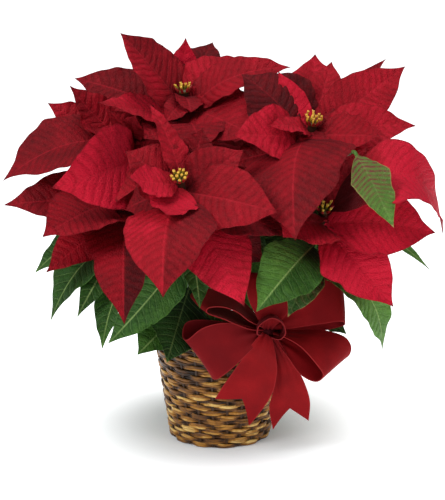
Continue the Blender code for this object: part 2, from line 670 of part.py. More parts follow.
def all_blades():
    """Every bract and leaf before it is bent clear, in the order that they are placed."""
    blades = []
    for number, (bloom, depth, *shape) in enumerate(FRONT_BRACTS):
        root = bloom_point(bloom, depth)
        blades.append(Blade(f"front_{number}", f"bracts_{bloom}", root, *shape))
    for number, (bloom, place, *shape) in enumerate(FRONT_LEAVES):
        node = f"leafy_stems_{cutting_of(bloom)[0]}"
        root = LONG_STALKS[number][-1] if number in LONG_STALKS else branch_point(bloom, place)
        blades.append(Blade(f"leaf_{number}", node, root, *shape))
    for row, (bloom, depth, first, last, count, length, width, slope) in enumerate(REAR_BRACTS):
        for k in range(count):
            bearing = first + (last - first) * k / max(1, count - 1)
            size = 1 - 0.10 * ((k * 2 + row) % 3)
            root = bloom_point(bloom, depth + 3 * (k % 2))
            tip = bearing_tip(root, bearing, slope - 6 * (k % 2), length * size)
            facing = unit(BLOOMS[bloom][1]) + np.array((0, 0, 0.3))
            blades.append(Blade(f"rear_{row}_{k}", f"bracts_{bloom}", root, tip, width * size,
                                0.09 * length, facing, (k + row) % 2))
    for row, (bloom, first, last, bearing, turn, *rest) in enumerate(REAR_LEAVES):
        count, length, width, slope = rest
        node = f"leafy_stems_{cutting_of(bloom)[0]}"
        for k in range(count):
            root = branch_point(bloom, first + (last - first) * k / (count - 1))
            tip = bearing_tip(root, bearing + turn * k, slope, length * (1 - 0.08 * (k % 2)))
            blades.append(Blade(f"rear_leaf_{row}_{k}", node, root, tip, width, 0.12 * length,
                                (0, 0, 1), (k + row) % 2))
    return blades


def ribbon(edge_a, edge_b, steps, notch=0.0, thickness=RIBBON_THICKNESS):
    """A closed strip of ribbon between two smooth edges; a notch cuts a swallow tail."""
    across = (0.0, 0.5, 1.0) if notch else (0.0, 1.0)
    rows = []
    for k in range(steps + 1):
        row = []
        for t in across:
            s = (k / steps) * (1 - notch * (1 - abs(2 * t - 1)))
            row.append((1 - t) * through(edge_a, s) + t * through(edge_b, s))
        rows.append(row)
    points, faces = [], []
    for k, row in enumerate(rows):
        before, after = rows[max(k - 1, 0)], rows[min(k + 1, steps)]
        for c in range(len(across)):
            ahead = after[c] - before[c]
            normal = unit(np.cross(ahead, row[-1] - row[0]))
            points += [row[c] + normal * 0.5 * thickness, row[c] - normal * 0.5 * thickness]
    size = 2 * len(across)
    strips = range(0, size - 2, 2)
    for r in range(steps):
        a, b = size * r, size * (r + 1)
        for c in strips:
            faces += [(a + c, a + c + 2, b + c + 2), (a + c, b + c + 2, b + c)]
            faces += [(a + c + 1, b + c + 3, a + c + 3), (a + c + 1, b + c + 1, b + c + 3)]
        right = size - 2
        faces += [(a, b, b + 1), (a, b + 1, a + 1)]
        faces += [(a + right, a + right + 1, b + right + 1), (a + right, b + right + 1, b + right)]
    end = size * steps
    for c in strips:
        faces += [(c, c + 1, c + 3), (c, c + 3, c + 2)]
        faces += [(end + c, end + c + 3, end + c + 1), (end + c, end + c + 2, end + c + 3)]
    return points, faces


def ellipsoid(centre, radii, axis=(0, 0, 1), sides=8, rings=5):
    """A closed rounded knob with its length along the axis."""
    axis = unit(axis)
    side = unit(np.cross(axis, (0.37, 0.91, 0.17)))
    other = np.cross(axis, side)
    centre = np.asarray(centre, float)
    points, faces = [centre - axis * radii[2]], []
    for k in range(1, rings):
        angle = math.pi * k / rings
        for n in range(sides):
            turn = 2 * math.pi * n / sides
            points.append(centre - axis * radii[2] * math.cos(angle)
                          + side * radii[0] * math.sin(angle) * math.cos(turn)
                          + other * radii[1] * math.sin(angle) * math.sin(turn))
    points.append(centre + axis * radii[2])
    last = len(points) - 1
    for n in range(sides):
        m = (n + 1) % sides
        faces.append((0, 1 + m, 1 + n))
        faces.append((last, last - sides + n, last - sides + m))
        for k in range(rings - 2):
            a = 1 + k * sides
            faces.append((a + n, a + m, a + sides + m, a + sides + n))
    return points, faces


def basket():
    """Woven shell: rows of strands stand out in turn from one column to the next."""
    pitch = BASKET_HEIGHT / WEAVE_ROWS
    slope = (BASKET_RIM_RADIUS - BASKET_FOOT_RADIUS) / BASKET_HEIGHT
    rim = [
        (BASKET_RIM_RADIUS, BASKET_HEIGHT),
        (BASKET_RIM_RADIUS - 0.5 * BASKET_WALL, BASKET_HEIGHT + RIM_ROLL),
        (BASKET_RIM_RADIUS - BASKET_WALL, BASKET_HEIGHT),
        (BASKET_FOOT_RADIUS + slope * BASKET_FLOOR - BASKET_WALL, BASKET_FLOOR),
    ]
    profiles = []
    for column in range(WEAVE_COLUMNS):
        profile = []
        for row in range(WEAVE_ROWS):
            low, middle = row * pitch, (row + 0.5) * pitch
            relief = STRAND_OVER if (column + row) % 2 else STRAND_UNDER
            profile.append((BASKET_FOOT_RADIUS + slope * low - ROW_GROOVE, low))
            profile.append((BASKET_FOOT_RADIUS + slope * middle + relief, middle))
        profiles.append(profile + rim)
    return solid_object("wicker_basket", *turned(profiles), "wicker")


def grower_pot():
    """Thin tapered pot with a rolled lip and drain holes, standing on the basket's floor."""
    foot = BASKET_FLOOR + GAP
    top = foot + POT_HEIGHT
    profile = [
        (POT_FOOT_RADIUS, foot),
        (POT_RIM_RADIUS, top - LIP_HEIGHT),
        (POT_RIM_RADIUS + POT_LIP, top - LIP_HEIGHT),
        (POT_RIM_RADIUS + POT_LIP, top),
        (POT_RIM_RADIUS + POT_LIP - POT_WALL, top),
        (POT_RIM_RADIUS - POT_WALL, top - LIP_HEIGHT),
        (POT_FOOT_RADIUS - POT_WALL, foot + POT_WALL),
    ]
    pot = solid_object("grower_pot", *turned([profile] * POT_SIDES), "pot")
    for k in range(DRAINS):
        angle = 2 * math.pi * (k + 0.5) / DRAINS
        centre = (DRAIN_CIRCLE * math.cos(angle), DRAIN_CIRCLE * math.sin(angle))
        cut_hole(pot, centre, DRAIN_RADIUS, foot - CUT_PAST, foot + POT_WALL + CUT_PAST, f"drain_{k}")
    return pot


def cut_hole(thing, centre, radius, low, high, name):
    """Cuts an upright round hole with a hidden cutter."""
    ends = [(*centre, low), (*centre, high)]
    points, faces = tube(ends, [radius, radius], HOLE_SIDES)
    cutter = solid_object(f"{name}_cutter", points, faces, "pot")
    cutter.hide_render = True
    cutter.display_type = "WIRE"
    cut = thing.modifiers.new(name, "BOOLEAN")
    cut.operation = "DIFFERENCE"
    cut.object = cutter


def potting_soil():
    """Soil that fills the pot, slightly crowned, with a plain hole for each stem and the wire."""
    foot = BASKET_FLOOR + POT_WALL + 2 * GAP
    slope = (POT_RIM_RADIUS - POT_FOOT_RADIUS) / (POT_HEIGHT - LIP_HEIGHT)
    low = POT_FOOT_RADIUS - POT_WALL - 3 * GAP
    high = low + slope * (SOIL_TOP - foot)
    profile = [(low, foot), (high, SOIL_TOP), (0.5 * high, SOIL_TOP + SOIL_CROWN)]
    soil = solid_object("potting_soil", *turned([profile] * POT_SIDES), "soil")
    top = SOIL_TOP + SOIL_CROWN + CUT_PAST
    for name, (place, _) in CUTTINGS.items():
        bottom = TRUNK_FOOT - HOLE_CLEARANCE
        cut_hole(soil, place, TRUNK_RADIUS + HOLE_CLEARANCE, bottom, top, f"hole_{name}")
    x, y, bottom = WIRE_ROUTE[-1]
    cut_hole(soil, (x, y), WIRE_RADIUS + HOLE_CLEARANCE, bottom - HOLE_CLEARANCE, top, "hole_wire")
    return soil


def stem_solids(cutting):
    """The trunk of a cutting and its three branches."""
    (x, y), carried = CUTTINGS[cutting]
    trunk = [(x, y, TRUNK_FOOT), (x, y, TRUNK_TOP)]
    solids = [tube(trunk, [TRUNK_RADIUS, TRUNK_TOP_RADIUS], STEM_SIDES)]
    radii = np.linspace(BRANCH_FOOT_RADIUS, BRANCH_TOP_RADIUS, len(BRANCH_PLACES))
    for bloom in carried:
        route = [branch_point(bloom, t) for t in BRANCH_PLACES]
        solids.append(tube(route, radii, STEM_SIDES))
    for number, route in LONG_STALKS.items():
        bloom, place, tip, *_ = FRONT_LEAVES[number]
        if bloom in carried:
            sunk_end = route[-1] + STALK_SUNK * unit(np.subtract(tip, route[-1]))
            route = [branch_point(bloom, place), *route, sunk_end]
            solids.append(tube(route, [LONG_STALK_RADIUS] * len(route), STEM_SIDES))
    return solids


def hub_solid(bloom):
    """The top of the stem inside a bloom, that its bracts grow from."""
    depths = (HUB_LENGTH, 0.5 * HUB_LENGTH, 0.2 * HUB_LENGTH, SEAT_DEPTH)
    radii = np.linspace(HUB_FOOT_RADIUS, HUB_TOP_RADIUS, len(depths))
    return tube([bloom_point(bloom, depth) for depth in depths], radii, STEM_SIDES)


def flower_solids(bloom):
    """The small cup-shaped flowers on their common seat."""
    centre, axis = BLOOMS[bloom]
    centre, axis = np.asarray(centre, float), unit(axis)
    side = unit(np.cross(axis, (0, 1, 0.2)))
    other = np.cross(axis, side)
    seat = [centre - axis * (SEAT_DEPTH - GAP), centre + axis * SEAT_TOP]
    solids = [tube(seat, [SEAT_RADIUS, 0.9 * SEAT_RADIUS], STEM_SIDES)]
    ring = RING_OF_SIX if bloom in FULL_RINGS else RING_OF_FOUR
    length = TALL_CUP_HALF_LENGTH if bloom in TALL_CUPS else CUP_HALF_LENGTH
    places = [(CUP_CIRCLE, CUP_LEAN, 2 * math.pi * k / ring) for k in range(ring)] + [(0.0, 0.0, 0.0)]
    for circle, lean, turn in places:
        out = side * math.cos(turn) + other * math.sin(turn)
        along = unit(axis + out * lean)
        place = centre + out * circle + along * (0.7 * length)
        solids.append(ellipsoid(place, (CUP_RADIUS, CUP_RADIUS, length), along, sides=5, rings=3))
    return solids


def bow_solids():
    """All the loops and both tails of one ribbon, gathered at the knot."""
    solids = [ellipsoid(KNOT_CENTRE, KNOT_RADII, sides=8, rings=6)]
    for edge_a, edge_b in BOW_LOOPS.values():
        solids.append(ribbon(edge_a, edge_b, RIBBON_STEPS))
    for edge_a, edge_b in BOW_TAILS.values():
        solids.append(ribbon(edge_a, edge_b, TAIL_STEPS, TAIL_NOTCH))
    return solids


def wire_solid():
    """The wire from the knot over both rims and down into the soil."""
    route = [through(WIRE_ROUTE, t) for t in np.linspace(0, 1, 2 * len(WIRE_ROUTE) - 1)]
    return tube(route, [WIRE_RADIUS] * len(route), WIRE_SIDES)


def place_blades():
    """Bends every blade clear of the stems, flowers, bow, basket and other blooms."""
    crowd, bodies = Crowd(), Crowd()
    for name in CUTTINGS:
        for solid in stem_solids(name):
            crowd.add(f"leafy_stems_{name}", *solid)
    for bloom in BLOOMS:
        crowd.add(f"bracts_{bloom}", *hub_solid(bloom))
        for solid in flower_solids(bloom):
            crowd.add(f"flowers_{bloom}", *solid)
    for solid in bow_solids():
        crowd.add("bow", *solid)
    crowd.add("wire", *wire_solid())
    shell = [
        (BASKET_FOOT_RADIUS + STRAND_OVER, 0),
        (BASKET_RIM_RADIUS + STRAND_OVER, BASKET_HEIGHT),
        (BASKET_RIM_RADIUS - 0.5 * BASKET_WALL, BASKET_HEIGHT + RIM_ROLL),
        (BASKET_RIM_RADIUS - BASKET_WALL, BASKET_HEIGHT),
    ]
    crowd.add("basket", *turned([shell] * WEAVE_COLUMNS))
    tries = bends()
    placed, dropped = [], []
    for blade in all_blades():
        bent = settle(blade, crowd, bodies, tries)
        if bent is None:
            dropped.append(blade)
            continue
        crowd.add(bent.node, *bent.solid())
        bodies.add(bent.node, *bent.solid(first=1))
        placed.append(bent)
    return placed, dropped


def build():
    clear_scene()
    basket()
    grower_pot()
    potting_soil()
    placed, dropped = place_blades()
    for name in CUTTINGS:
        node = f"leafy_stems_{name}"
        fuse(node, stem_solids(name) + [b.solid() for b in placed if b.node == node], "leaf")
    for bloom in BLOOMS:
        node = f"bracts_{bloom}"
        fuse(node, [hub_solid(bloom)] + [b.solid() for b in placed if b.node == node], "bract")
        fuse(f"flowers_{bloom}", flower_solids(bloom), "flower")
    fuse("bow_ribbon", bow_solids(), "ribbon")
    solid_object("bow_wire", *wire_solid(), "wire")
    return placed, dropped


PLACED, DROPPED = build()
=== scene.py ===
"""Looks of the poinsettia: fine bracts, leaves, flowers, wicker, ribbon and soil.

Metres, +Z up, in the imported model's frame. Tables and shapes below are in millimetres.
"""

import math

import bpy
import numpy as np
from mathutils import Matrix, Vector
from mathutils.kdtree import KDTree


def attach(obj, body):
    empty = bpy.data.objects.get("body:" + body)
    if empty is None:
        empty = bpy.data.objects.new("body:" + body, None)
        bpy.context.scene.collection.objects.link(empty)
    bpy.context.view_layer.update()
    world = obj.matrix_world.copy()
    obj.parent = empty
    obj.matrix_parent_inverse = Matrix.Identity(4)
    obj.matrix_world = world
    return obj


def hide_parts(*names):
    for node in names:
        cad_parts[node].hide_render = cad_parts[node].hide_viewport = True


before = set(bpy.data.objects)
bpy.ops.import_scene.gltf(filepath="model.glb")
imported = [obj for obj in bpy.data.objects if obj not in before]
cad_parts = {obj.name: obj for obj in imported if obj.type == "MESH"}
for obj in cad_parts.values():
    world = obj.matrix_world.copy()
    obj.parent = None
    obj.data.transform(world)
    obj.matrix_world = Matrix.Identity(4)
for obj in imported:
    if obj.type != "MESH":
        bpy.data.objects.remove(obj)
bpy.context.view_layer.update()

MM = 0.001
GAP = 0.3
RNG = np.random.default_rng(7)

# Basket and soil, as the solids have them
BASKET_HEIGHT = 115.0
BASKET_FOOT_RADIUS = 52.0
BASKET_RIM_RADIUS = 69.0
SOIL_TOP = 94.0
SOIL_FOOT = 6.3
SOIL_RADII = (41.5, 55.3)
# Loose soil on top: how high it may rise, how rough it is, and its crumbs
SOIL_PEAK = 2.9
SOIL_ROUGHNESS = 0.55
CRUMBS = 420
CRUMB_PROFILE = ((0.1, -1.0), (0.8, -0.4), (1.0, 0.1), (0.5, 0.8), (0.1, 1.0))

# Stems
TRUNK_FOOT = 58.0
TRUNK_TOP = 128.0
TRUNK_RADII = (4.6, 4.1)
BRANCH_RADII = (3.6, 3.0)
BRANCH_SPACING = 9.0
BRANCH_SUNK = 4.0
BRANCH_RISE = 45.0
HUB_LENGTH = 38.0
HUB_RADII = (3.4, 5.2)
SEAT_DEPTH = 2.0

# Blades, as the solids have them
STALK_HALF_WIDTH = 1.5
STALK_THICKNESS = 2.2
STALK_SHARE = 0.12
FULLNESS = 1.15
RIB_SKEW = 0.42
FOLD = 0.16
WAVE = 2.2
SHOULDER = 0.16
SHOULDER_PLACE = 0.41
SHOULDER_SPAN = 0.12
LARGE_STATIONS = (0.16, 0.40, 0.62, 0.84)
MIDDLE_STATIONS = (0.2, 0.45, 0.75)
SMALL_STATIONS = (0.24, 0.6)
MIDDLE_BLADE = 140.0
SMALL_BLADE = 94.0

# Fine relief of the blades
BLADE_THICKNESS = 0.6
TIP_REACH = 0.15
STATION_STEP = 1.55
ACROSS_STEP = 2.1
VEIN_SPACING = 8.4
VEIN_LEAN = 0.50
VEIN_CURL = 0.0045
QUILT = 1.0
RIPPLE = 1.0
RIB_GROOVE = 0.7
LOBE_SPAN = 0.07
NOTCH_DEPTH = 0.07
NOTCH_AWAY = 0.16

# Each cutting stands in the soil at its own foot and carries three blooms
CUTTINGS = {
    "left": ((-28, -12), "CFB"),
    "middle": ((-2, 24), "AGH"),
    "right": ((28, -4), "DEI"),
}

# Each bloom: the middle of its small flowers, and the way it faces
BLOOMS = {
    "A": ((-38, 35, 365), (-0.10, -0.10, 1.0)),
    "B": ((-40, -105, 306), (-0.10, -0.55, 0.84)),
    "C": ((-97, 14, 330), (-0.25, 0.10, 0.96)),
    "D": ((95, -25, 344), (0.12, -0.25, 0.96)),
    "E": ((104, -95, 272), (0.10, -0.55, 0.83)),
    "F": ((-106, -20, 274), (-0.35, -0.35, 0.87)),
    "G": ((34, 130, 302), (0.05, 0.40, 0.92)),
    "H": ((-95, 118, 285), (-0.35, 0.45, 0.82)),
    "I": ((118, 108, 292), (0.38, 0.40, 0.83)),
}

# Bracts that face the front: bloom, depth of the root below the flowers, tip, width,
# height of the arch, the way the upper face looks, and whether it has a shoulder
FRONT_BRACTS = (
    ("D", 18, (74, -150, 255), 86, 24, (-0.15, -0.75, 0.65), 1),
    ("B", 28, (-55, -188, 208), 76, 28, (-0.28, -0.88, 0.40), 0),
    ("B", 34, (24, -166, 192), 62, 14, (0.15, -0.75, 0.65), 0),
    ("C", 34, (-167, -112, 298), 71, 24, (-0.1, -1.00, 0.15), 0),
    ("E", 20, (228, -55, 234), 63, 85, (-0.06, -0.58, 0.82), 1),
    ("C", 26, (-60, 70, 368), 46, 5, (0.1, -0.80, 0.60), 0),
    ("A", 24, (-103, 25, 428), 58, 8, (0.45, -0.70, 0.50), 0),
    ("A", 18, (-125, -30, 367), 38, 5, (0.0, -0.45, 0.90), 0),
    ("A", 10, (-36, 58, 417), 28, 2, (0.1, -1.00, 0.20), 0),
    ("A", 22, (-8, 100, 404), 42, 30, (0.1, -0.35, 1.00), 0),
    ("A", 28, (74, 40, 389), 42, 23, (0.0, -0.50, 0.85), 0),
    ("A", 20, (42, -42, 330), 62, 12, (0.1, -0.75, 0.65), 0),
    ("A", 32, (-78, -35, 330), 46, 6, (-0.1, -0.80, 0.60), 0),
    ("A", 34, (-17, -66, 322), 52, 10, (0.1, -0.80, 0.55), 0),
    ("A", 12, (-58, -14, 338), 22, 4, (0.0, -0.85, 0.50), 0),
    ("D", 24, (13, -75, 343), 54, 7, (0.0, -0.75, 0.65), 0),
    ("D", 16, (60, 10, 391), 24, 6, (-0.3, -0.50, 0.85), 0),
    ("D", 22, (193, 35, 391), 48, 6, (0.0, -0.85, 0.50), 0),
    ("D", 26, (176, 80, 390), 24, 6, (0.2, 0.00, 1.00), 0),
    ("D", 30, (201, -20, 340), 45, 20, (0.1, -0.70, 0.70), 0),
    ("D", 16, (100, 60, 399), 54, 3, (0.1, -0.90, 0.40), 0),
    ("D", 20, (70, 62, 377), 34, 4, (-0.2, -0.80, 0.50), 0),
    ("D", 8, (119, 10, 364), 16, 5, (0.2, -0.30, 0.90), 0),
    ("D", 12, (50, -60, 349), 24, 5, (-0.1, -0.60, 0.80), 0),
    ("D", 14, (160, -70, 341), 42, 6, (0.1, -0.70, 0.70), 1),
    ("B", 8, (-89, -135, 315), 34, 7, (0.0, -0.65, 0.75), 0),
    ("B", 9, (-52, -158, 283), 40, 10, (0.0, -0.80, 0.60), 0),
    ("B", 20, (57, -142, 281), 56, 6, (0.0, -0.85, 0.52), 0),
    ("B", 34, (72, -124, 250), 56, 8, (-0.1, -0.80, 0.60), 0),
    ("B", 22, (-94, -95, 331), 52, 5, (0.1, -0.75, 0.65), 0),
    ("B", 16, (-71, -60, 372), 24, 4, (0.8, -0.60, 0.10), 0),
    ("B", 18, (-17, -70, 349), 44, 5, (-0.3, -0.80, 0.50), 0),
    ("B", 24, (24, -92, 332), 42, 7, (-0.1, -0.75, 0.65), 0),
    ("A", 34, (54, 22, 345), 50, 6, (0.0, -0.80, 0.60), 0),
    ("C", 22, (-224, -20, 282), 66, 27, (-0.3, -0.50, 0.80), 0),
    ("C", 20, (-180, 30, 353), 44, 7, (-0.1, -0.60, 0.80), 0),
    ("C", 16, (-157, 10, 375), 42, 4, (0.0, -0.80, 0.60), 0),
    ("A", 30, (-154, 70, 371), 46, 10, (0.0, -0.80, 0.60), 0),
    ("C", 24, (-50, 16, 345), 44, 4, (0.1, -0.80, 0.60), 0),
    ("A", 36, (-40, -46, 332), 46, 5, (0.0, -0.85, 0.50), 0),
    ("D", 36, (10, -38, 304), 50, 5, (0.0, -0.80, 0.60), 0),
    ("C", 8, (-142, -25, 344), 20, 4, (0.0, -0.60, 0.80), 0),
    ("C", 7, (-116, -22, 358), 26, 3, (0.0, -0.90, 0.40), 0),
    ("C", 10, (-62, -24, 345), 34, 4, (0.1, -0.70, 0.70), 0),
    ("F", 30, (-94, -165, 173), 54, 16, (-0.1, -0.95, 0.25), 1),
    ("F", 24, (-221, -50, 264), 54, 8, (-0.2, -0.60, 0.75), 0),
    ("F", 20, (-176, -125, 251), 60, 10, (-0.2, -0.75, 0.65), 0),
    ("F", 28, (-176, -90, 204), 42, 14, (-0.3, -0.90, 0.25), 0),
    ("F", 12, (-70, -115, 280), 34, 6, (0.1, -0.80, 0.60), 0),
    ("E", 28, (174, -120, 177), 52, 12, (-0.1, -0.75, 0.65), 1),
    ("E", 24, (218, -80, 243), 62, 10, (0.0, -0.75, 0.65), 0),
    ("C", 27, (-104, -84, 276), 58, 10, (0.0, -0.85, 0.50), 0),
    ("E", 22, (62, -140, 255), 60, 8, (0.0, -0.70, 0.70), 0),
    ("E", 10, (92, -128, 268), 18, 4, (0.0, -0.70, 0.70), 0),
    ("E", 12, (138, -88, 336), 26, 3, (0.0, -0.90, 0.40), 0),
    ("C", 8, (-84, -18, 360), 26, 3, (0.1, -0.90, 0.40), 0),
    ("A", 6, (-30, -2, 350), 26, 3, (0.0, -0.80, 0.60), 0),
    ("G", 24, (-62, 84, 308), 64, 4, (0.0, -0.90, 0.40), 0),
    ("G", 30, (-12, 92, 258), 58, 4, (0.0, -0.90, 0.40), 0),
    ("I", 24, (178, 84, 284), 54, 4, (0.0, -0.90, 0.40), 0),
    ("I", 32, (112, 66, 216), 56, 4, (0.0, -0.90, 0.40), 0),
    ("A", 26, (28, 80, 389), 44, 22, (0.0, -0.50, 0.90), 0),
    ("D", 7, (98, -62, 328), 24, 3, (0.0, -0.80, 0.60), 0),
    ("D", 24, (22, 10, 388), 68, 10, (0.0, -0.50, 0.85), 0),
    ("D", 20, (117, 50, 393), 40, 5, (0.0, -0.80, 0.50), 0),
    ("B", 32, (-94, -90, 268), 44, 4, (0.0, -0.90, 0.40), 0),
    ("B", 34, (45, -70, 209), 52, 6, (0.0, -0.90, 0.40), 0),
)

# Bracts by rule round the hidden sides: bloom, depth of the root, first and last bearing,
# how many, length, width, and the slope of the bract above the level
REAR_BRACTS = (
    ("A", 26, 60, 150, 2, 72, 40, 14),
    ("C", 28, 80, 140, 2, 74, 42, 0),
    ("D", 28, 20, 60, 2, 92, 44, 6),
    ("E", 26, 10, 50, 2, 70, 38, 0),
    ("F", 26, 100, 130, 2, 66, 38, 0),
    ("G", 30, 20, 180, 3, 92, 54, 0),
    ("G", 12, 60, 240, 2, 46, 28, 18),
    ("H", 30, 45, 270, 4, 92, 54, -8),
    ("H", 12, 90, 270, 2, 46, 28, 12),
    ("I", 30, 10, 145, 3, 92, 54, -8),
    ("I", 12, -20, 160, 2, 46, 28, 12),
)

# Leaves that show: cutting, branch, place along it, tip, width, arch, upper face, shoulder
FRONT_LEAVES = (
    ("E", 0.88, (36, -158, 184), 52, 12, (-0.1, -0.90, 0.40), 0),
    ("E", 0.74, (68, -122, 167), 34, 8, (0.2, -0.90, 0.30), 0),
    ("E", 0.70, (168, -58, 110), 44, 22, (0.75, -0.60, 0.30), 0),
    ("E", 0.48, (131, -58, 128), 32, 8, (0.4, -0.80, 0.40), 0),
    ("E", 0.86, (175, -60, 205), 36, 8, (0.3, -0.80, 0.50), 1),
    ("D", 0.62, (219, -30, 188), 20, 26, (0.3, -0.40, 0.85), 0),
    ("D", 0.84, (169, -165, 272), 29, 6, (0.0, -0.75, 0.65), 1),
    ("F", 0.86, (-193, -20, 183), 42, 24, (-0.5, -0.60, 0.65), 0),
    ("F", 0.74, (-174, -70, 146), 54, 36, (-0.6, -0.70, 0.45), 0),
    ("F", 0.92, (-145, -95, 158), 30, 8, (-0.3, -0.90, 0.30), 0),
    ("F", 0.60, (-119, -112, 130), 44, 22, (-0.6, -0.70, 0.40), 0),
    ("B", 0.66, (-114, -98, 131), 42, 8, (0.1, -0.90, 0.50), 0),
    ("B", 0.42, (-52, -120, 126), 46, 8, (0.0, -0.90, 0.40), 1),
    ("B", 0.30, (-84, -104, 121), 46, 8, (-0.1, -0.90, 0.40), 0),
    ("B", 0.84, (-20, -128, 178), 34, 8, (0.1, -0.90, 0.40), 0),
    ("C", 0.80, (-186, 0, 268), 40, 8, (-0.1, -0.60, 0.80), 0),
    ("A", 0.70, (46, -76, 226), 60, 8, (0.0, -0.95, 0.30), 0),
    ("D", 0.74, (60, -62, 190), 62, 6, (0.0, -0.95, 0.30), 0),
    ("G", 0.46, (34, 30, 126), 66, 4, (0.0, -0.95, 0.30), 0),
    ("G", 0.40, (-22, 40, 116), 50, 4, (0.0, -0.95, 0.30), 0),
    ("H", 0.45, (-35, 10, 119), 44, 4, (0.0, -0.95, 0.30), 0),
    ("I", 0.75, (113, 30, 169), 42, 4, (0.0, -0.95, 0.30), 0),
)

# Leaves that hang from a long stalk: the number of the leaf above, and where its stalk leads
LONG_STALKS = {6: ((112, -42, 312), (126, -72, 322), (132, -100, 332), (133, -121, 336))}
LONG_STALK_RADIUS = 1.8

# Blades whose halves slope down from the rib; in the others they rise from it
FOLDS = {"front_0": -0.08, "front_1": -0.18, "front_2": -0.08}

# Leaves by rule: branch, first and last place along it, first bearing, turn between
# leaves, how many, length, width and slope
REAR_LEAVES = (
    ("A", 0.60, 0.90, 70, 137, 2, 88, 42, -12),
    ("C", 0.60, 0.92, 110, 70, 2, 92, 44, -18),
    ("D", 0.50, 0.86, -10, 75, 2, 92, 44, -16),
    ("G", 0.56, 0.94, 35, 62, 3, 100, 48, -26),
    ("H", 0.50, 0.94, 100, 50, 4, 100, 48, -26),
    ("I", 0.50, 0.94, -20, 50, 4, 100, 48, -26),
)

# Bow: the two edges of each loop, from the knot round and back to it, and of each tail
BOW_LOOPS = {
    "upper_left": (
        ((44, -97, 148), (30, -105, 157), (17, -108, 168), (3, -108, 173), (-11, -107, 172),
         (-12, -107, 166), (4, -107, 160), (16, -106, 154), (30, -103, 148), (44, -96, 144)),
        ((44, -84, 148), (28, -70, 163), (12, -64, 174), (-8, -62, 178), (-26, -61, 175),
         (-29, -61, 168), (-10, -63, 163), (10, -66, 157), (28, -74, 150), (44, -84, 145)),
    ),
    "lower_left": (
        ((42, -95, 145), (22, -101, 152), (2, -104, 155), (-18, -106, 150), (-33, -106, 138),
         (-38, -97, 140), (-34, -86, 150), (-16, -84, 152), (14, -86, 149), (42, -87, 145)),
        ((44, -97, 136), (34, -103, 128), (20, -107, 115), (8, -108, 104), (-3, -107, 96),
         (-8, -98, 96), (0, -89, 106), (14, -87, 118), (30, -87, 131), (44, -87, 138)),
    ),
    "upper_middle": (
        ((44, -96, 146), (36, -101, 163), (28, -101, 182), (28, -93, 199), (31, -83, 202),
         (34, -77, 192), (39, -76, 170), (44, -84, 148)),
        ((53, -96, 146), (66, -101, 162), (78, -100, 180), (80, -92, 197), (76, -83, 199),
         (70, -77, 189), (60, -77, 168), (53, -84, 148)),
    ),
    "upper_right": (
        ((54, -95, 145), (72, -94, 146), (98, -91, 149), (122, -87, 151), (128, -78, 146),
         (123, -68, 139), (98, -69, 134), (74, -73, 134), (54, -84, 139)),
        ((50, -92, 153), (72, -89, 176), (94, -81, 190), (118, -72, 194), (124, -63, 190),
         (118, -56, 186), (96, -58, 180), (72, -68, 166), (50, -84, 150)),
    ),
    "lower_right": (
        ((54, -97, 142), (67, -103, 139), (82, -109, 131), (96, -112, 116), (105, -110, 101),
         (97, -106, 93), (82, -101, 99), (68, -97, 117), (54, -93, 134)),
        ((54, -86, 141), (80, -80, 139), (106, -76, 138), (128, -73, 130), (135, -72, 117),
         (128, -72, 107), (106, -75, 116), (79, -80, 129), (54, -86, 137)),
    ),
    "centre": (
        ((44, -96, 140), (38, -110, 145), (40, -116, 156), (52, -117, 164), (63, -116, 158),
         (66, -114, 147), (60, -109, 139), (50, -96, 138)),
        ((44, -86, 141), (40, -84, 147), (43, -83, 157), (52, -83, 163), (62, -83, 157),
         (64, -84, 148), (59, -85, 141), (50, -87, 139)),
    ),
}
BOW_TAILS = {
    "left": (
        ((43, -97, 143), (33, -103, 133), (24, -101, 118), (14, -96, 101), (4, -90, 84), (-5, -85, 67)),
        ((53, -99, 138), (57, -102, 118), (58, -98, 100), (55, -94, 80), (46, -88, 60), (30, -82, 36)),
    ),
    "right": (
        ((46, -92, 137), (54, -90, 118), (57, -88, 98), (55, -84, 76), (51, -79, 55), (55, -74, 29)),
        ((57, -95, 138), (68, -96, 120), (80, -91, 100), (88, -87, 82), (93, -82, 62), (92, -77, 40)),
    ),
}
TAIL_NOTCH = 0.16
KNOT_CENTRE = (48.0, -90.0, 142.0)
KNOT_RADII = (8.5, 7.0, 7.5)

# Bends that a blade may have been given to clear its neighbours
PUSHES = (0, 6, -6, 12, -12, 20, -20, 30, -30)
SIDESTEPS = (0, 8, -8)
SHORTENINGS = (1.0, 0.9, 0.78)
ARCH_CHANGES = (0, 5, -5, 11, -11, 18, -18)
ROLLS = (0, 13, -13, 26, -26)
FAR_OFF = 3.0

# How light a blade is, from 0 to 1, by its number in the rows above, where it isn't the middle tone: partly
# the blade's own depth of red and partly painted light and shade, lighter where it stands in the light and
# darker where it lies in shadow
MIDDLE_TONE = 0.5
FRONT_TONES_WITH_PAINTED_LIGHT = {
    0: 0.46, 1: 0.75, 2: 0.88, 3: 1.0, 4: 1.0, 5: 0.4, 6: 0.4, 7: 0.75, 8: 1.0, 9: 0.12, 10: 0.6,
    11: 0.6, 13: 0.45, 15: 0.85, 16: 1.0, 17: 0.68, 18: 0.45, 19: 0.75, 20: 0.75, 21: 0.3, 22: 0.35,
    23: 0.8, 24: 0.6, 25: 0.9, 26: 1.0, 27: 0.55, 28: 0.35, 30: 0.7, 31: 0.35, 34: 0.35, 35: 0.6,
    36: 0.6, 37: 0.35, 38: 0.4, 39: 0.4, 40: 0.4, 41: 0.6, 43: 0.45, 45: 0.35, 47: 0.45, 49: 1.0,
    50: 1.0, 51: 0.6, 52: 0.7, 53: 0.6, 61: 0.75, 62: 0.6, 63: 0.14, 64: 0.7, 65: 0.3, 66: 0.1,
}
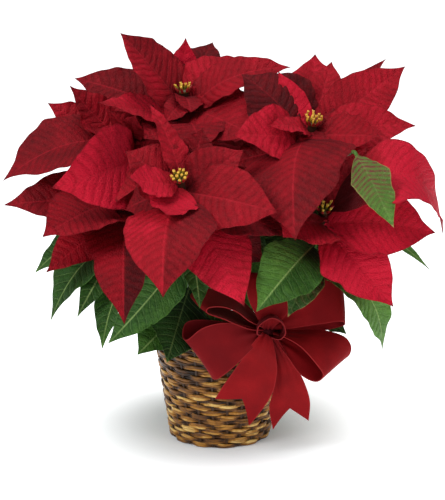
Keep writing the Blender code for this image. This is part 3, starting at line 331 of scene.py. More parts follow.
# Leaves likewise: partly their own green and partly painted light and shade
LEAF_TONES_WITH_PAINTED_LIGHT = {
    0: 0.66, 1: 0.2, 2: 0.75, 3: 0.2, 4: 0.35, 5: 0.45, 6: 0.72, 7: 0.4, 8: 0.28, 9: 0.3, 10: 0.4,
    11: 0.42, 12: 0.1, 13: 0.45, 14: 0.3, 15: 0.2, 16: 0.2, 17: 0.15,
}
# Painted shade: how much darker a blade is near its root, where blades crowd round the flowers; and painted
# light and shade: how much lighter its half on one side of the rib is, as though the light fell on that
# half
PAINTED_SHADE_AT_ROOT = 0.28
PAINTED_SHADES_AT_ROOTS = {"front_4": 1.3, "front_50": 0.0, "leaf_6": 0.0}
PAINTED_HALF_SHADING = {"front_0": -0.14, "front_1": -0.36, "front_6": 0.25, "front_16": -0.12, "front_44": -0.5,
              "leaf_0": -0.25}
# Leaves that turn red, with how much they do, and the leaf with teeth along its rim
LEAF_BLUSH = {"leaf_1": 0.9, "leaf_6": 0.95}
TOOTHED = ("leaf_12",)
TEETH = 6.0
TOOTH_DEPTH = 0.20
# Distance between side veins and how strongly a blade is quilted, where they differ
SPACING = {"front_0": 1.1, "front_3": 1.45, "front_11": 1.2, "front_13": 1.2, "front_44": 1.15,
           "leaf_6": 0.6}
QUILTING = {"front_2": 0.5, "front_3": 1.5, "front_4": 0.3, "front_6": 1.3, "front_7": 0.4,
            "front_10": 1.5, "front_17": 1.5, "front_25": 0.25, "front_26": 0.25}
# Share of the stations that a blade on the hidden sides has
REAR_FINENESS = 0.72

# Flowers: the seat that they stand on, shares of radius and height of a cup, an anther on its
# thread, a nectar gland at the side, and the two rings of flowers: radius and lean outwards
SEAT_PROFILE = ((1.0, -1.7), (5.8, -1.4), (6.2, 0.2), (5.2, 1.5), (1.0, 1.9))
CUP_PROFILE = ((0.35, 0), (0.8, 0.12), (1.0, 0.38), (0.95, 0.62), (0.72, 0.84), (0.84, 0.95), (0.62, 1.0),
               (0.2, 0.93))
ANTHER_PROFILE = ((0.12, -0.9), (0.18, -0.2), (0.5, 0.0), (0.5, 0.45), (0.15, 0.75))
GLAND_PROFILE = ((1.1, -1), (1.7, 1.6), (1.2, 4.6), (0.1, 7.5))
OUTER_FLOWERS = (5.8, 0.44)
INNER_FLOWERS = (2.3, 0.14)
GLAND_CIRCLE = 5.4

# Weave and ribbon
WEAVE_ROWS = 20
WEAVE_PERIODS = 12
WOVEN_HEIGHT = 110.5
CANE_HALF_HEIGHT = 1.82
CANE_HALF_WIDTH = 1.0
STAKE_RADIUS = 1.5
RIM_CENTRE = 112.6
RIM_INSET = 1.6
RIM_CANE = 1.55
RIM_TWIST = 1.3
RIM_TWISTS = 34
BASE_CANE = 1.5
BASE_HEIGHT = 2.1
BASE_SPACING = 3.6
RIBBON_WIDTH = 48.0
RIBBON_THICKNESS = 0.8
RIBBON_PLEAT = 1.5
RIBBON_CROWN = 1.3
# Painted shade on the loops that turn away from the light
RIBBON_PAINTED_SHADES = {"lower_left": 0.35, "upper_left": 0.15, "centre": 0.5, "upper_right": 0.1}

# Studio: the floor glows white from some way off the pot and glows less round its foot, a painted shadow
# that makes it greyer there
FLOOR_HALF = 4.0
FLOOR_COLOURS = ((0.83, 0.86, 0.90, 1), (0.85, 0.88, 0.92, 1))
FLOOR_GLOW = (0.10, 1.0)
PAINTED_SHADOW_RADII = (0.05, 0.195)
PAINTED_SHADOW_CENTRE = (-0.007, 0.014, 0.0)
AMBIENT = 0.18
LIGHT_AIM = (0.0, 0.0, 0.22)
LIGHTS = (
    ("key", (-1.45, -1.25, 1.9), 1.1, 34.0),
    ("fill", (1.7, -1.4, 0.9), 1.2, 10.0),
    ("top", (0.0, 0.0, 2.3), 1.4, 20.0),
)
CAMERA_LENS = 164.6
CAMERA_SENSOR = 36.0
CAMERA_ELEVATION = 16.0
CAMERA_TARGET = (0.0026, 0.0, 0.202)
CAMERA_DISTANCE = 2.4


def unit(vector):
    vector = np.asarray(vector, float)
    return vector / np.linalg.norm(vector, axis=-1, keepdims=True)


def circle(count):
    """Angles evenly round a circle."""
    return np.linspace(0, 2 * math.pi, count, endpoint=False)


def smooth(x, low, high):
    """0 below low, 1 above high and a soft step between."""
    t = np.clip((x - low) / (high - low), 0.0, 1.0)
    return t * t * (3 - 2 * t)


def through(points, t):
    """Places on the smooth curve that runs through all the points, t from 0 to 1."""
    points = np.asarray(points, float)
    last = len(points) - 1
    place = np.clip(np.atleast_1d(t), 0.0, 1.0) * last
    k = np.minimum(place.astype(int), last - 1)
    f = (place - k)[:, None]
    ends = np.vstack((2 * points[0] - points[1], points, 2 * points[-1] - points[-2]))
    p0, p1, p2, p3 = ends[k], ends[k + 1], ends[k + 2], ends[k + 3]
    return 0.5 * (2 * p1 + (p2 - p0) * f + (2 * p0 - 5 * p1 + 4 * p2 - p3) * f ** 2
                  + (3 * p1 - p0 - 3 * p2 + p3) * f ** 3)


class Heap:
    """Points, faces and values of one piece, gathered from many small parts."""

    def __init__(self, *channels):
        self.channels = channels
        self.points, self.faces, self.count = [], [], 0
        self.values = {channel: [] for channel in channels}

    def add(self, points, faces, **values):
        points = np.asarray(points, float).reshape(-1, 3)
        for channel in self.channels:
            value = np.broadcast_to(values.get(channel, (0.0, 0.0, 0.0)), points.shape)
            self.values[channel].append(value)
        self.points.append(points)
        self.faces += [(np.asarray(block, int) + self.count).tolist() for block in faces if len(block)]
        self.count += len(points)

    def piece(self, name, material, slot, *nodes, sharp=50.0):
        """Makes the object, rides it on the body and hides the CAD nodes it stands for."""
        mesh = bpy.data.meshes.new(name)
        faces = [face for block in self.faces for face in block]
        mesh.from_pydata((np.concatenate(self.points) * MM).tolist(), [], faces)
        for channel in self.channels:
            layer = mesh.attributes.new(channel, "FLOAT_VECTOR", "POINT")
            layer.data.foreach_set("vector", np.concatenate(self.values[channel]).ravel())
        mesh.shade_smooth()
        mesh.set_sharp_from_angle(angle=math.radians(sharp))
        mesh.materials.append(material)
        made = placed(name, mesh)
        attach(made, "root")
        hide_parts(*nodes)
        return made


def grid_faces(rows, columns, closed=False, flip=False):
    """Quads of a grid of points, joined round where it is closed."""
    index = np.arange(rows * columns).reshape(rows, columns)
    if closed:
        index = np.hstack((index, index[:, :1]))
    quads = (index[:-1, :-1], index[:-1, 1:], index[1:, 1:], index[1:, :-1])
    faces = np.stack(quads, axis=-1).reshape(-1, 4)
    return faces[:, ::-1] if flip else faces


def hoop_faces(rows, columns):
    """Quads of a grid of points that is joined round both ways."""
    index = np.arange(rows * columns).reshape(rows, columns)
    index = np.vstack((index, index[:1]))
    index = np.hstack((index, index[:, :1]))
    quads = (index[:-1, :-1], index[1:, :-1], index[1:, 1:], index[:-1, 1:])
    return np.stack(quads, axis=-1).reshape(-1, 4)


def capped(rows, sides):
    """Faces of a closed tube of points, with its two end faces."""
    last = (rows - 1) * sides
    ends = [list(range(sides))[::-1]], [list(range(last, last + sides))]
    return [grid_faces(rows, sides, closed=True), *ends]


def around(radius, turn, height):
    """Points at a radius and a height, turned round the upright axis."""
    return np.stack(np.broadcast_arrays(radius * np.cos(turn), radius * np.sin(turn), height), axis=-1)


def triples(*values):
    """Three values for each point of a grid, from numbers or arrays."""
    return np.stack(np.broadcast_arrays(*values), axis=-1).reshape(-1, 3)


def tube(heap, centres, radii, sides=10, **values):
    """A round tube with closed ends along a row of points."""
    centres = np.asarray(centres, float)
    radii = np.broadcast_to(radii, (len(centres),))
    ahead = unit(np.gradient(centres, axis=0))
    side = np.empty_like(centres)
    guess = unit(np.cross(ahead[0], (0.31, 0.83, 0.46)))
    for k, forward in enumerate(ahead):
        guess = unit(guess - forward * np.dot(guess, forward))
        side[k] = guess
    other = np.cross(ahead, side)
    turn = circle(sides)
    ring = side[:, None] * np.cos(turn)[:, None] + other[:, None] * np.sin(turn)[:, None]
    heap.add(centres[:, None] + ring * radii[:, None, None], capped(len(centres), sides), **values)


def turned(heap, centre, axis, profile, sides=12, **values):
    """A solid turned round an axis from rows of radius and height, closed at both ends."""
    axis = unit(axis)
    side = unit(np.cross(axis, (0.37, 0.91, 0.17)))
    other = np.cross(axis, side)
    turn = circle(sides)
    ring = side * np.cos(turn)[:, None] + other * np.sin(turn)[:, None]
    rows = [np.asarray(centre, float) + axis * height + ring * radius for radius, height in profile]
    for name, value in values.items():
        if callable(value):
            share = np.repeat(np.linspace(0, 1, len(profile)), sides)
            values[name] = np.array([value(t) for t in share])
    heap.add(np.concatenate(rows), capped(len(profile), sides), **values)


class Blade:
    """A bract or leaf on the same lines as its solid, with veins, ripples and lobes."""

    def __init__(self, name, node, root, tip, width, arch, facing, shoulder, turn=0.0, tone=0.5):
        self.name, self.node, self.tone = name, node, tone
        self.root, self.tip = np.asarray(root, float), np.asarray(tip, float)
        self.width, self.arch, self.shoulder, self.turn = width, arch, shoulder, turn
        self.facing = np.asarray(facing, float)
        self.phase = (len(name) * 0.37 + sum(map(ord, name)) * 0.61) % 1.0
        self.fold = FOLDS.get(name, FOLD)

    def frame(self):
        chord = unit(self.tip - self.root)
        up = unit(self.facing - chord * np.dot(self.facing, chord))
        side = np.cross(chord, up)
        angle = math.radians(self.turn)
        turned_up = up * math.cos(angle) - side * math.sin(angle)
        return turned_up, side * math.cos(angle) + up * math.sin(angle)

    def bent(self, shift, sideways, rise, turn, shorter):
        up, side = self.frame()
        tip = self.root + (self.tip - self.root) * shorter + up * shift + side * sideways
        return Blade(self.name, self.node, self.root, tip, self.width * (0.5 + 0.5 * shorter),
                     self.arch + rise, self.facing, self.shoulder, self.turn + turn, self.tone)

    def spine(self, s):
        """The rib's line, the way across and the normal, at places s along the blade."""
        up, side = self.frame()
        middle = self.root + (self.tip - self.root) * RIB_SKEW + 2 * self.arch * up
        rib = (1 - s) ** 2 * self.root + 2 * s * (1 - s) * middle + s ** 2 * self.tip
        ahead = unit((1 - s) * (middle - self.root) + s * (self.tip - middle))
        return rib, side, unit(np.cross(side, ahead))

    def outline(self, s):
        """The ovate outline with its wedge foot and long point, and the share past the stalk."""
        t = np.clip((s - STALK_SHARE * 0.5) / (1 - STALK_SHARE * 0.5), 0.0, 1.0)
        return (t / 0.44) ** 0.75 * ((1 - t) / 0.56) ** 0.95, t

    def swell(self, s, half):
        """How far the two edges rise and dip in turn along the blade."""
        return np.sin(2 * math.pi * (1.6 * s + self.phase)) * WAVE * np.minimum(1.0, half / 12)

    def corners(self):
        """Corners of the plain solid blade between its root and its tip."""
        length = np.linalg.norm(self.tip - self.root)
        stations = MIDDLE_STATIONS if length < MIDDLE_BLADE else LARGE_STATIONS
        s = np.array(SMALL_STATIONS if length < SMALL_BLADE else stations)[:, None]
        u = np.array((-1, 0, 1))
        rib, side, normal = self.spine(s)
        nearness = np.maximum(0.0, 1 - np.abs(s - SHOULDER_PLACE) / SHOULDER_SPAN)
        body = self.outline(s)[0] * (1 + SHOULDER * self.shoulder * nearness)
        half = np.maximum(0.5 * FULLNESS * self.width * body, STALK_HALF_WIDTH * (1 - s))
        rise = self.fold * np.abs(u) * half + self.swell(s, half) * u * np.abs(u)
        places = rib[:, None] + side * (u * half)[..., None] + normal[:, None] * rise[..., None]
        return places.reshape(-1, 3)

    def half_width(self, s, u):
        """Half width where the blade is s along and u across, lobes and edge wobble included."""
        body, t = self.outline(s)
        body = body * (1 + 0.09 * np.sin(math.pi * t) ** 2) * (1 - 0.42 * smooth(t, 0.80, 1.0))
        lobe = np.exp(-np.abs((s - SHOULDER_PLACE) / LOBE_SPAN) ** 1.4)
        body = body * (1 + SHOULDER * self.shoulder * lobe)
        notch = np.exp(-((s - SHOULDER_PLACE - NOTCH_AWAY) / LOBE_SPAN) ** 2)
        body = body * (1 - NOTCH_DEPTH * self.shoulder * notch)
        seed = 2 * math.pi * (self.phase + 0.31 * (u > 0))
        body = body * (1 + 0.022 * np.sin(19.0 * s + seed) + 0.012 * np.sin(43.0 * s + 2.7 * seed))
        if self.name in TOOTHED:
            tooth = 1 - np.abs(((s * TEETH + 0.4 * (u > 0)) % 1.0) - 0.35) / 0.65
            body = body * (1 + TOOTH_DEPTH * tooth * smooth(s, 0.25, 0.4) * (1 - smooth(s, 0.72, 0.85)))
        return np.maximum(0.5 * FULLNESS * self.width * body, STALK_HALF_WIDTH * (1 - s) + 0.12)

    def relief(self, s, u, half, length):
        """Height above the rib's plane, the phase of the side veins and the distance from the rib."""
        away = np.abs(u) * half
        big = np.minimum(1.0, half / 12)
        rise = self.fold * half * (np.sqrt(u * u + 0.0025) - 0.05) + self.swell(s, half) * u * np.abs(u)
        lean = VEIN_LEAN * away + VEIN_CURL * away * away
        spacing = max(4.6, min(VEIN_SPACING, length / 10)) * SPACING.get(self.name, 1.0)
        seed = 2 * math.pi * self.phase
        veins = (s * length - lean) / spacing + 0.25 * np.tanh(5 * u) + self.phase
        veins = veins + 0.16 * np.sin(11.0 * s + seed + 1.7 * u)
        veins = veins + 0.07 * np.sin(29.0 * s + 3 * seed - 4 * u)
        puff = np.abs(np.sin(math.pi * veins)) ** 0.75 - 0.6
        puff = puff * (0.85 + 0.45 * np.sin(7.0 * s + 2 * seed + 3.0 * u))
        inside = smooth(np.abs(u), 0.02, 0.22) * (1 - smooth(np.abs(u), 0.86, 1.02))
        open_blade = smooth(s, 0.10, 0.24) * (1 - smooth(s, 0.86, 0.98))
        quilt = QUILT * QUILTING.get(self.name, 1.0)
        rise = rise + quilt * puff * inside * open_blade * np.minimum(1.0, half / 15)
        ripple = np.sin(2 * math.pi * 4.6 * s + 3 * seed + 1.9 * (u > 0))
        ripple = ripple + 0.5 * np.sin(2 * math.pi * 9.3 * s + 5 * seed + 0.8 * (u > 0))
        rise = rise + RIPPLE * ripple * np.abs(u) ** 3 * big * open_blade
        rise = rise - RIB_GROOVE * np.exp(-(away / 1.3) ** 2) * smooth(s, 0.08, 0.2) * (1 - s)
        return rise, veins, away

    def add_to(self, heap):
        length = np.linalg.norm(self.tip - self.root)
        fine = REAR_FINENESS if self.name.startswith("rear") else 1.0
        rows = int(np.clip(length / STATION_STEP * fine, 12, 84))
        half_columns = int(np.clip(0.5 * self.width / ACROSS_STEP * fine, 3, 16))
        s = np.linspace(0.0, 0.988, rows)[:, None]
        u = np.linspace(-1, 1, 2 * half_columns + 1)
        u = (np.sign(u) * np.abs(u) ** 1.25)[None, :]
        rib, side, normal = self.spine(s)
        normal = normal[:, None, :]
        half = self.half_width(s, u)
        rise, veins, away = self.relief(s, u, half, length)
        sheet = rib[:, None, :] + side * (u * half)[..., None] + normal * rise[..., None]
        stalk = np.maximum(0.0, 1 - s / STALK_SHARE)
        thick = BLADE_THICKNESS * (1 - 0.5 * s) + (STALK_THICKNESS - BLADE_THICKNESS) * stalk
        thick = thick * np.sqrt(1 - 0.7 * u * u)
        keel = 0.8 * np.exp(-(away / 0.9) ** 2) * (1 - 0.85 * s)
        top = sheet + normal * (0.5 * thick)[..., None]
        under = sheet - normal * (0.5 * thick + keel)[..., None]
        point = self.tip + normal[-1] * TIP_REACH, self.tip - normal[-1] * TIP_REACH
        columns = u.shape[1]
        total = rows * columns
        a = np.arange(total).reshape(rows, columns)
        b = a + total
        tip_top, tip_under = 2 * total, 2 * total + 1
        last, first = a[-1], a[0]
        faces = [
            grid_faces(rows, columns),
            grid_faces(rows, columns, flip=True) + total,
            np.stack((a[:-1, 0], a[1:, 0], b[1:, 0], b[:-1, 0]), axis=-1),
            np.stack((a[:-1, -1], b[:-1, -1], b[1:, -1], a[1:, -1]), axis=-1),
            np.stack((first[:-1], b[0][:-1], b[0][1:], first[1:]), axis=-1),
            np.stack((last[:-1], last[1:], np.full(columns - 1, tip_top)), axis=-1),
            np.stack((b[-1][:-1], np.full(columns - 1, tip_under), b[-1][1:]), axis=-1),
            [[last[0], tip_top, tip_under, b[-1][0]]],
            [[last[-1], b[-1][-1], tip_under, tip_top]],
        ]
        # Painted light and shade on one half of the rib, and painted shade near the root
        tone = self.tone + PAINTED_HALF_SHADING.get(self.name, 0.0) * smooth(-u, 0.0, 0.10)
        tone = tone - PAINTED_SHADES_AT_ROOTS.get(self.name, PAINTED_SHADE_AT_ROOT) * (1 - smooth(s, 0.10, 0.42))
        blade = triples(s, u, tone)
        vein = triples(veins, away, 0.0)
        mood = np.array((0.0, LEAF_BLUSH.get(self.name, 0.0), self.phase))
        ends = [[1.0, 0.0, self.tone]] * 2
        heap.add(
            np.concatenate((top.reshape(-1, 3), under.reshape(-1, 3), point[0], point[1])), faces,
            blade=np.concatenate((blade, blade, ends)),
            vein=np.concatenate((vein, vein, vein[-1:], vein[-1:])),
            mood=np.concatenate((np.tile(mood, (total, 1)), np.tile(mood + (1, 0, 0), (total, 1)),
                                 [mood, mood + (1, 0, 0)])),
        )


def cutting_of(bloom):
    for name, ((x, y), carried) in CUTTINGS.items():
        if bloom in carried:
            return name, (x, y), carried.index(bloom)


def branch_point(bloom, t):
    """Places on the branch that carries a bloom, t from 0 at the trunk to 1 at the top."""
    centre, axis = BLOOMS[bloom]
    axis = unit(axis)
    _, (x, y), order = cutting_of(bloom)
    start = np.array((x, y, TRUNK_TOP - BRANCH_SUNK - BRANCH_SPACING * order))
    top = np.asarray(centre, float) - axis * (HUB_LENGTH + GAP)
    out = start + 0.25 * (top - start)
    turn = top - axis * BRANCH_RISE
    t = np.asarray(t, float)[..., None]
    return (1 - t) ** 3 * start + 3 * (1 - t) ** 2 * t * out + 3 * (1 - t) * t ** 2 * turn + t ** 3 * top


def bloom_point(bloom, depth):
    centre, axis = BLOOMS[bloom]
    return np.asarray(centre, float) - unit(axis) * depth


def bearing_tip(root, bearing, slope, length):
    a, b = math.radians(bearing), math.radians(slope)
    return root + length * np.array((math.cos(a) * math.cos(b), math.sin(a) * math.cos(b), math.sin(b)))


def as_in_solid(blade, corners):
    """The blade with the bend that its solid was given, told by the solid's own corners."""
    def away(places):
        return sum(min(corners.find(place)[2], FAR_OFF) for place in places)

    tips = ((push, sidestep, 0, 0, shorter)
            for push in PUSHES for sidestep in SIDESTEPS for shorter in SHORTENINGS)
    push, sidestep, _, _, shorter = min(tips, key=lambda bend: away([blade.bent(*bend).tip]))
    arched = (blade.bent(push, sidestep, rise, turn, shorter) for rise in ARCH_CHANGES for turn in ROLLS)
    return min(arched, key=lambda bent: away(bent.corners()))


def corner_tree(node):
    """The corners of a node's solid, ready to search by place."""
    vertices = bpy.data.objects[node].data.vertices
    tree = KDTree(len(vertices))
    for number, vertex in enumerate(vertices):
        tree.insert(vertex.co / MM, number)
    tree.balance()
    return tree


def all_blades():
    """Every bract and leaf, bent clear of its neighbours as in the solids."""
    blades = []
    for number, (bloom, depth, *shape) in enumerate(FRONT_BRACTS):
        tone = FRONT_TONES_WITH_PAINTED_LIGHT.get(number, MIDDLE_TONE)
        root = bloom_point(bloom, depth)
        blades.append(Blade(f"front_{number}", f"bracts_{bloom}", root, *shape, tone=tone))
    for number, (bloom, place, *shape) in enumerate(FRONT_LEAVES):
        tone = LEAF_TONES_WITH_PAINTED_LIGHT.get(number, MIDDLE_TONE)
        node = f"leafy_stems_{cutting_of(bloom)[0]}"
        root = LONG_STALKS[number][-1] if number in LONG_STALKS else branch_point(bloom, place)
        blades.append(Blade(f"leaf_{number}", node, root, *shape, tone=tone))
    for row, (bloom, depth, first, last, count, length, width, slope) in enumerate(REAR_BRACTS):
        for k in range(count):
            bearing = first + (last - first) * k / max(1, count - 1)
            size = 1 - 0.10 * ((k * 2 + row) % 3)
            root = bloom_point(bloom, depth + 3 * (k % 2))
            tip = bearing_tip(root, bearing, slope - 6 * (k % 2), length * size)
            facing = unit(BLOOMS[bloom][1]) + np.array((0, 0, 0.3))
            blades.append(Blade(f"rear_{row}_{k}", f"bracts_{bloom}", root, tip, width * size,
                                0.09 * length, facing, (k + row) % 2, tone=0.35 + 0.15 * ((k + row) % 3)))
    for row, (bloom, first, last, bearing, turn, *rest) in enumerate(REAR_LEAVES):
        count, length, width, slope = rest
        node = f"leafy_stems_{cutting_of(bloom)[0]}"
        for k in range(count):
            root = branch_point(bloom, first + (last - first) * k / (count - 1))
            tip = bearing_tip(root, bearing + turn * k, slope, length * (1 - 0.08 * (k % 2)))
            blades.append(Blade(f"rear_leaf_{row}_{k}", node, root, tip, width, 0.12 * length,
                                (0, 0, 1), (k + row) % 2, tone=0.35 + 0.15 * ((k + row) % 3)))
    trees = {node: corner_tree(node) for node in {blade.node for blade in blades}}
    return [as_in_solid(blade, trees[blade.node]) for blade in blades]


def colour(red, green, blue):
    """A colour from its values on a screen, 0 to 255, as linear light."""
    parts = [c / 255 for c in (red, green, blue)]
    return (*[c / 12.92 if c <= 0.04045 else ((c + 0.055) / 1.055) ** 2.4 for c in parts], 1.0)


class Shader:
    """A material and short calls for the nodes that it uses."""

    def __init__(self, name, roughness, specular=0.5, sheen=0.0, coat=0.0):
        self.material = bpy.data.materials.new(name)
        self.material.use_nodes = True
        self.tree = self.material.node_tree
        self.surface = self.tree.nodes["Principled BSDF"]
        self.surface.inputs["Roughness"].default_value = roughness
        self.surface.inputs["Specular IOR Level"].default_value = specular
        self.surface.inputs["Sheen Weight"].default_value = sheen
        self.surface.inputs["Coat Weight"].default_value = coat
        self.place = self.tree.nodes.new("ShaderNodeTexCoord").outputs["Object"]

    def put(self, socket, value):
        if isinstance(value, bpy.types.NodeSocket):
            self.tree.links.new(value, socket)
        else:
            socket.default_value = value

    def calc(self, operation, *values, clamp=False):
        node = self.tree.nodes.new("ShaderNodeMath")
        node.operation = operation
        node.use_clamp = clamp
        for socket, value in zip(node.inputs, values):
            self.put(socket, value)
        return node.outputs[0]

    def times(self, *values, clamp=False):
        return self.calc("MULTIPLY", *values, clamp=clamp)

    def swayed(self, level, wave, amount, middle=0.5):
        """The level moved up and down by a wave's distance from its middle."""
        return self.calc("MULTIPLY_ADD", self.calc("SUBTRACT", wave, middle), amount, level)

    def parts(self, vector):
        node = self.tree.nodes.new("ShaderNodeSeparateXYZ")
        self.put(node.inputs[0], vector)
        return node.outputs[0], node.outputs[1], node.outputs[2]

    def split(self, channel):
        """The three values of a point channel."""
        node = self.tree.nodes.new("ShaderNodeAttribute")
        node.attribute_name = channel
        return self.parts(node.outputs["Vector"])

    def join(self, *parts):
        """A vector of three values, each with its own scale."""
        node = self.tree.nodes.new("ShaderNodeCombineXYZ")
        for socket, (value, scale) in zip(node.inputs, parts):
            self.put(socket, self.times(value, scale))
        return node.outputs[0]

    def step(self, value, low, high, start=0.0, end=1.0):
        node = self.tree.nodes.new("ShaderNodeMapRange")
        node.interpolation_type = "SMOOTHSTEP"
        for socket, number in zip(node.inputs, (value, low, high, start, end)):
            self.put(socket, number)
        return node.outputs[0]

    def ramp(self, value, *stops):
        """A colour by value, from stops of position, red, green and blue."""
        node = self.tree.nodes.new("ShaderNodeValToRGB")
        band = node.color_ramp
        while len(band.elements) < len(stops):
            band.elements.new(0.5)
        for element, (position, *tint) in zip(band.elements, stops):
            element.position = position
            element.color = colour(*tint)
        self.put(node.inputs[0], value)
        return node.outputs[0]

    def mix(self, share, first, second):
        node = self.tree.nodes.new("ShaderNodeMix")
        node.data_type = "RGBA"
        for socket, value in zip((node.inputs[0], node.inputs[6], node.inputs[7]), (share, first, second)):
            self.put(socket, value)
        return node.outputs[2]

    def noise(self, scale, detail=3.0, vector=None):
        node = self.tree.nodes.new("ShaderNodeTexNoise")
        node.inputs["Scale"].default_value = scale
        node.inputs["Detail"].default_value = detail
        self.put(node.inputs["Vector"], self.place if vector is None else vector)
        return node.outputs[0]

    def cells(self, scale, vector):
        node = self.tree.nodes.new("ShaderNodeTexVoronoi")
        node.feature = "DISTANCE_TO_EDGE"
        node.inputs["Scale"].default_value = scale
        self.put(node.inputs["Vector"], vector)
        return node.outputs[0]

    def bump(self, height, distance, strength):
        node = self.tree.nodes.new("ShaderNodeBump")
        node.inputs["Strength"].default_value = strength
        node.inputs["Distance"].default_value = distance
        self.put(node.inputs["Height"], height)
        return node.outputs[0]

    def finish(self, tint, normal=None, roughness=None):
        for name, value in (("Base Color", tint), ("Normal", normal), ("Roughness", roughness)):
            if value is not None:
                self.put(self.surface.inputs[name], value)
        return self.material


def blade_material(name, tones, vein, vein_share, rib, rib_share, under, edge, stem, blush,
                   roughness, sheen, tint):
    """Bract or leaf: tone by blade with its painted light and shade, side veins with painted shade in their
    grooves on bracts, painted highlight on the puffs between them, rib, fine net of veins, underside and
    stem.
    """
    shader = Shader(name, roughness, specular=0.13, sheen=sheen)
    shader.surface.inputs["Sheen Roughness"].default_value = 0.45
    shader.surface.inputs["Sheen Tint"].default_value = tint
    s, u, tone = shader.split("blade")
    veins, away, kind = shader.split("vein")
    below, red, seed = shader.split("mood")
    broad = shader.noise(26.0, 2.0)
    mottle = shader.noise(240.0, 4.0)
    level = shader.swayed(tone, broad, 0.70)
    level = shader.swayed(level, mottle, 0.40)
    to_vein = shader.calc("PINGPONG", veins, 0.5)
    # Painted highlight: the puffs of tissue between the side veins are lighter, as light catches the
    # quilting
    painted_puff_light = shader.step(to_vein, 0.0, 0.42)
    level = shader.swayed(level, painted_puff_light, 0.10, 0.6)
    body = shader.ramp(level, *tones)
    # Side vein lines: on bracts the darker line is partly the vein's own colour and partly painted shade in
    # its groove; on leaves the paler line is the vein's own colour
    line = shader.times(shader.step(to_vein, 0.0, 0.10, 1.0, 0.0), vein_share)
    line = shader.times(line, shader.step(shader.calc("ABSOLUTE", u), 0.70, 1.0, 1.0, 0.1))
    line = shader.times(line, shader.step(s, 0.06, 0.16))
    body = shader.mix(line, body, vein)
    rib_line = shader.times(shader.step(away, 0.25, 1.25, 1.0, 0.0), rib_share)
    rib_line = shader.times(rib_line, shader.calc("MULTIPLY_ADD", red, -0.75, 1.0))
    rib_line = shader.times(rib_line, shader.step(tone, 0.0, 0.4, 0.3, 1.0))
    body = shader.mix(shader.times(rib_line, shader.step(s, 0.75, 1.0, 1.0, 0.3)), body, rib)
    streak = shader.step(to_vein, 0.08, 0.34, 1.0, 0.35)
    streak = shader.times(streak, shader.step(shader.noise(240.0, 3.0), 0.30, 0.66, 0.35, 1.0))
    streak = shader.times(streak, shader.step(s, 0.20, 0.95, 1.35, 0.12))
    body = shader.mix(shader.times(red, streak, clamp=True), body, blush)
    body = shader.mix(shader.times(below, 0.55), body, under)
    rim = shader.step(shader.calc("ABSOLUTE", u), 0.93, 1.0, 0.0, 0.45)
    rim = shader.calc("MAXIMUM", rim, shader.step(s, 0.955, 1.0))
    body = shader.mix(rim, body, edge)
    body = shader.mix(shader.times(rim, red, clamp=True), body, colour(190, 150, 98))
    body = shader.mix(kind, body, stem)
    along_veins = shader.join((veins, 7.0), (away, 1.0), (seed, 50.0))
    net = shader.step(shader.cells(0.42, along_veins), 0.0, 0.30)
    height = shader.calc("ADD", net, mottle)
    height = shader.calc("MULTIPLY_ADD", shader.step(to_vein, 0.0, 0.22), 0.8, height)
    normal = shader.bump(height, 0.0005, 0.8)
    grain = shader.step(shader.noise(700.0, 2.0), 0.3, 0.7, roughness - 0.06, roughness + 0.08)
    return shader.finish(body, normal, grain)


def bract_material():
    return blade_material(
        "bract_velvet",
        tones=((0.0, 70, 5, 10), (0.35, 116, 7, 18), (0.7, 156, 12, 29), (1.0, 194, 20, 46)),
        vein=colour(100, 5, 14), vein_share=0.12, rib=colour(196, 36, 52), rib_share=0.30,
        under=colour(160, 22, 36), edge=colour(104, 10, 16), stem=colour(52, 30, 18),
        blush=colour(150, 20, 34), roughness=0.62, sheen=0.04, tint=(1.0, 0.30, 0.40, 1.0))


def leaf_material():
    return blade_material(
        "leaf_green",
        tones=((0.0, 22, 44, 17), (0.35, 44, 80, 29), (0.7, 80, 122, 48), (1.0, 118, 158, 76)),
        vein=colour(118, 156, 84), vein_share=0.30, rib=colour(148, 176, 104), rib_share=0.7,
        under=colour(104, 146, 88), edge=colour(86, 128, 54), stem=colour(74, 112, 48),
        blush=colour(112, 54, 50), roughness=0.46, sheen=0.02, tint=(0.8, 1.0, 0.7, 1.0))


def flower_material():
    shader = Shader("flower_waxy", 0.38, specular=0.5)
    share, kind, _ = shader.split("cup")
    speck = shader.noise(900.0, 2.0)
    level = shader.swayed(share, speck, 0.25)
    cup = shader.ramp(level, (0.0, 44, 56, 20), (0.35, 96, 98, 26), (0.65, 196, 152, 34),
                      (0.9, 238, 196, 66), (1.0, 206, 110, 48))
    body = shader.ramp(shader.calc("DIVIDE", kind, 3.0),
                       (0.0, 0, 0, 0), (0.34, 250, 206, 84), (0.67, 150, 18, 30), (1.0, 86, 70, 26))
    body = shader.mix(shader.step(kind, 0.2, 0.8), cup, body)
    return shader.finish(body, shader.bump(speck, 0.0002, 0.5))


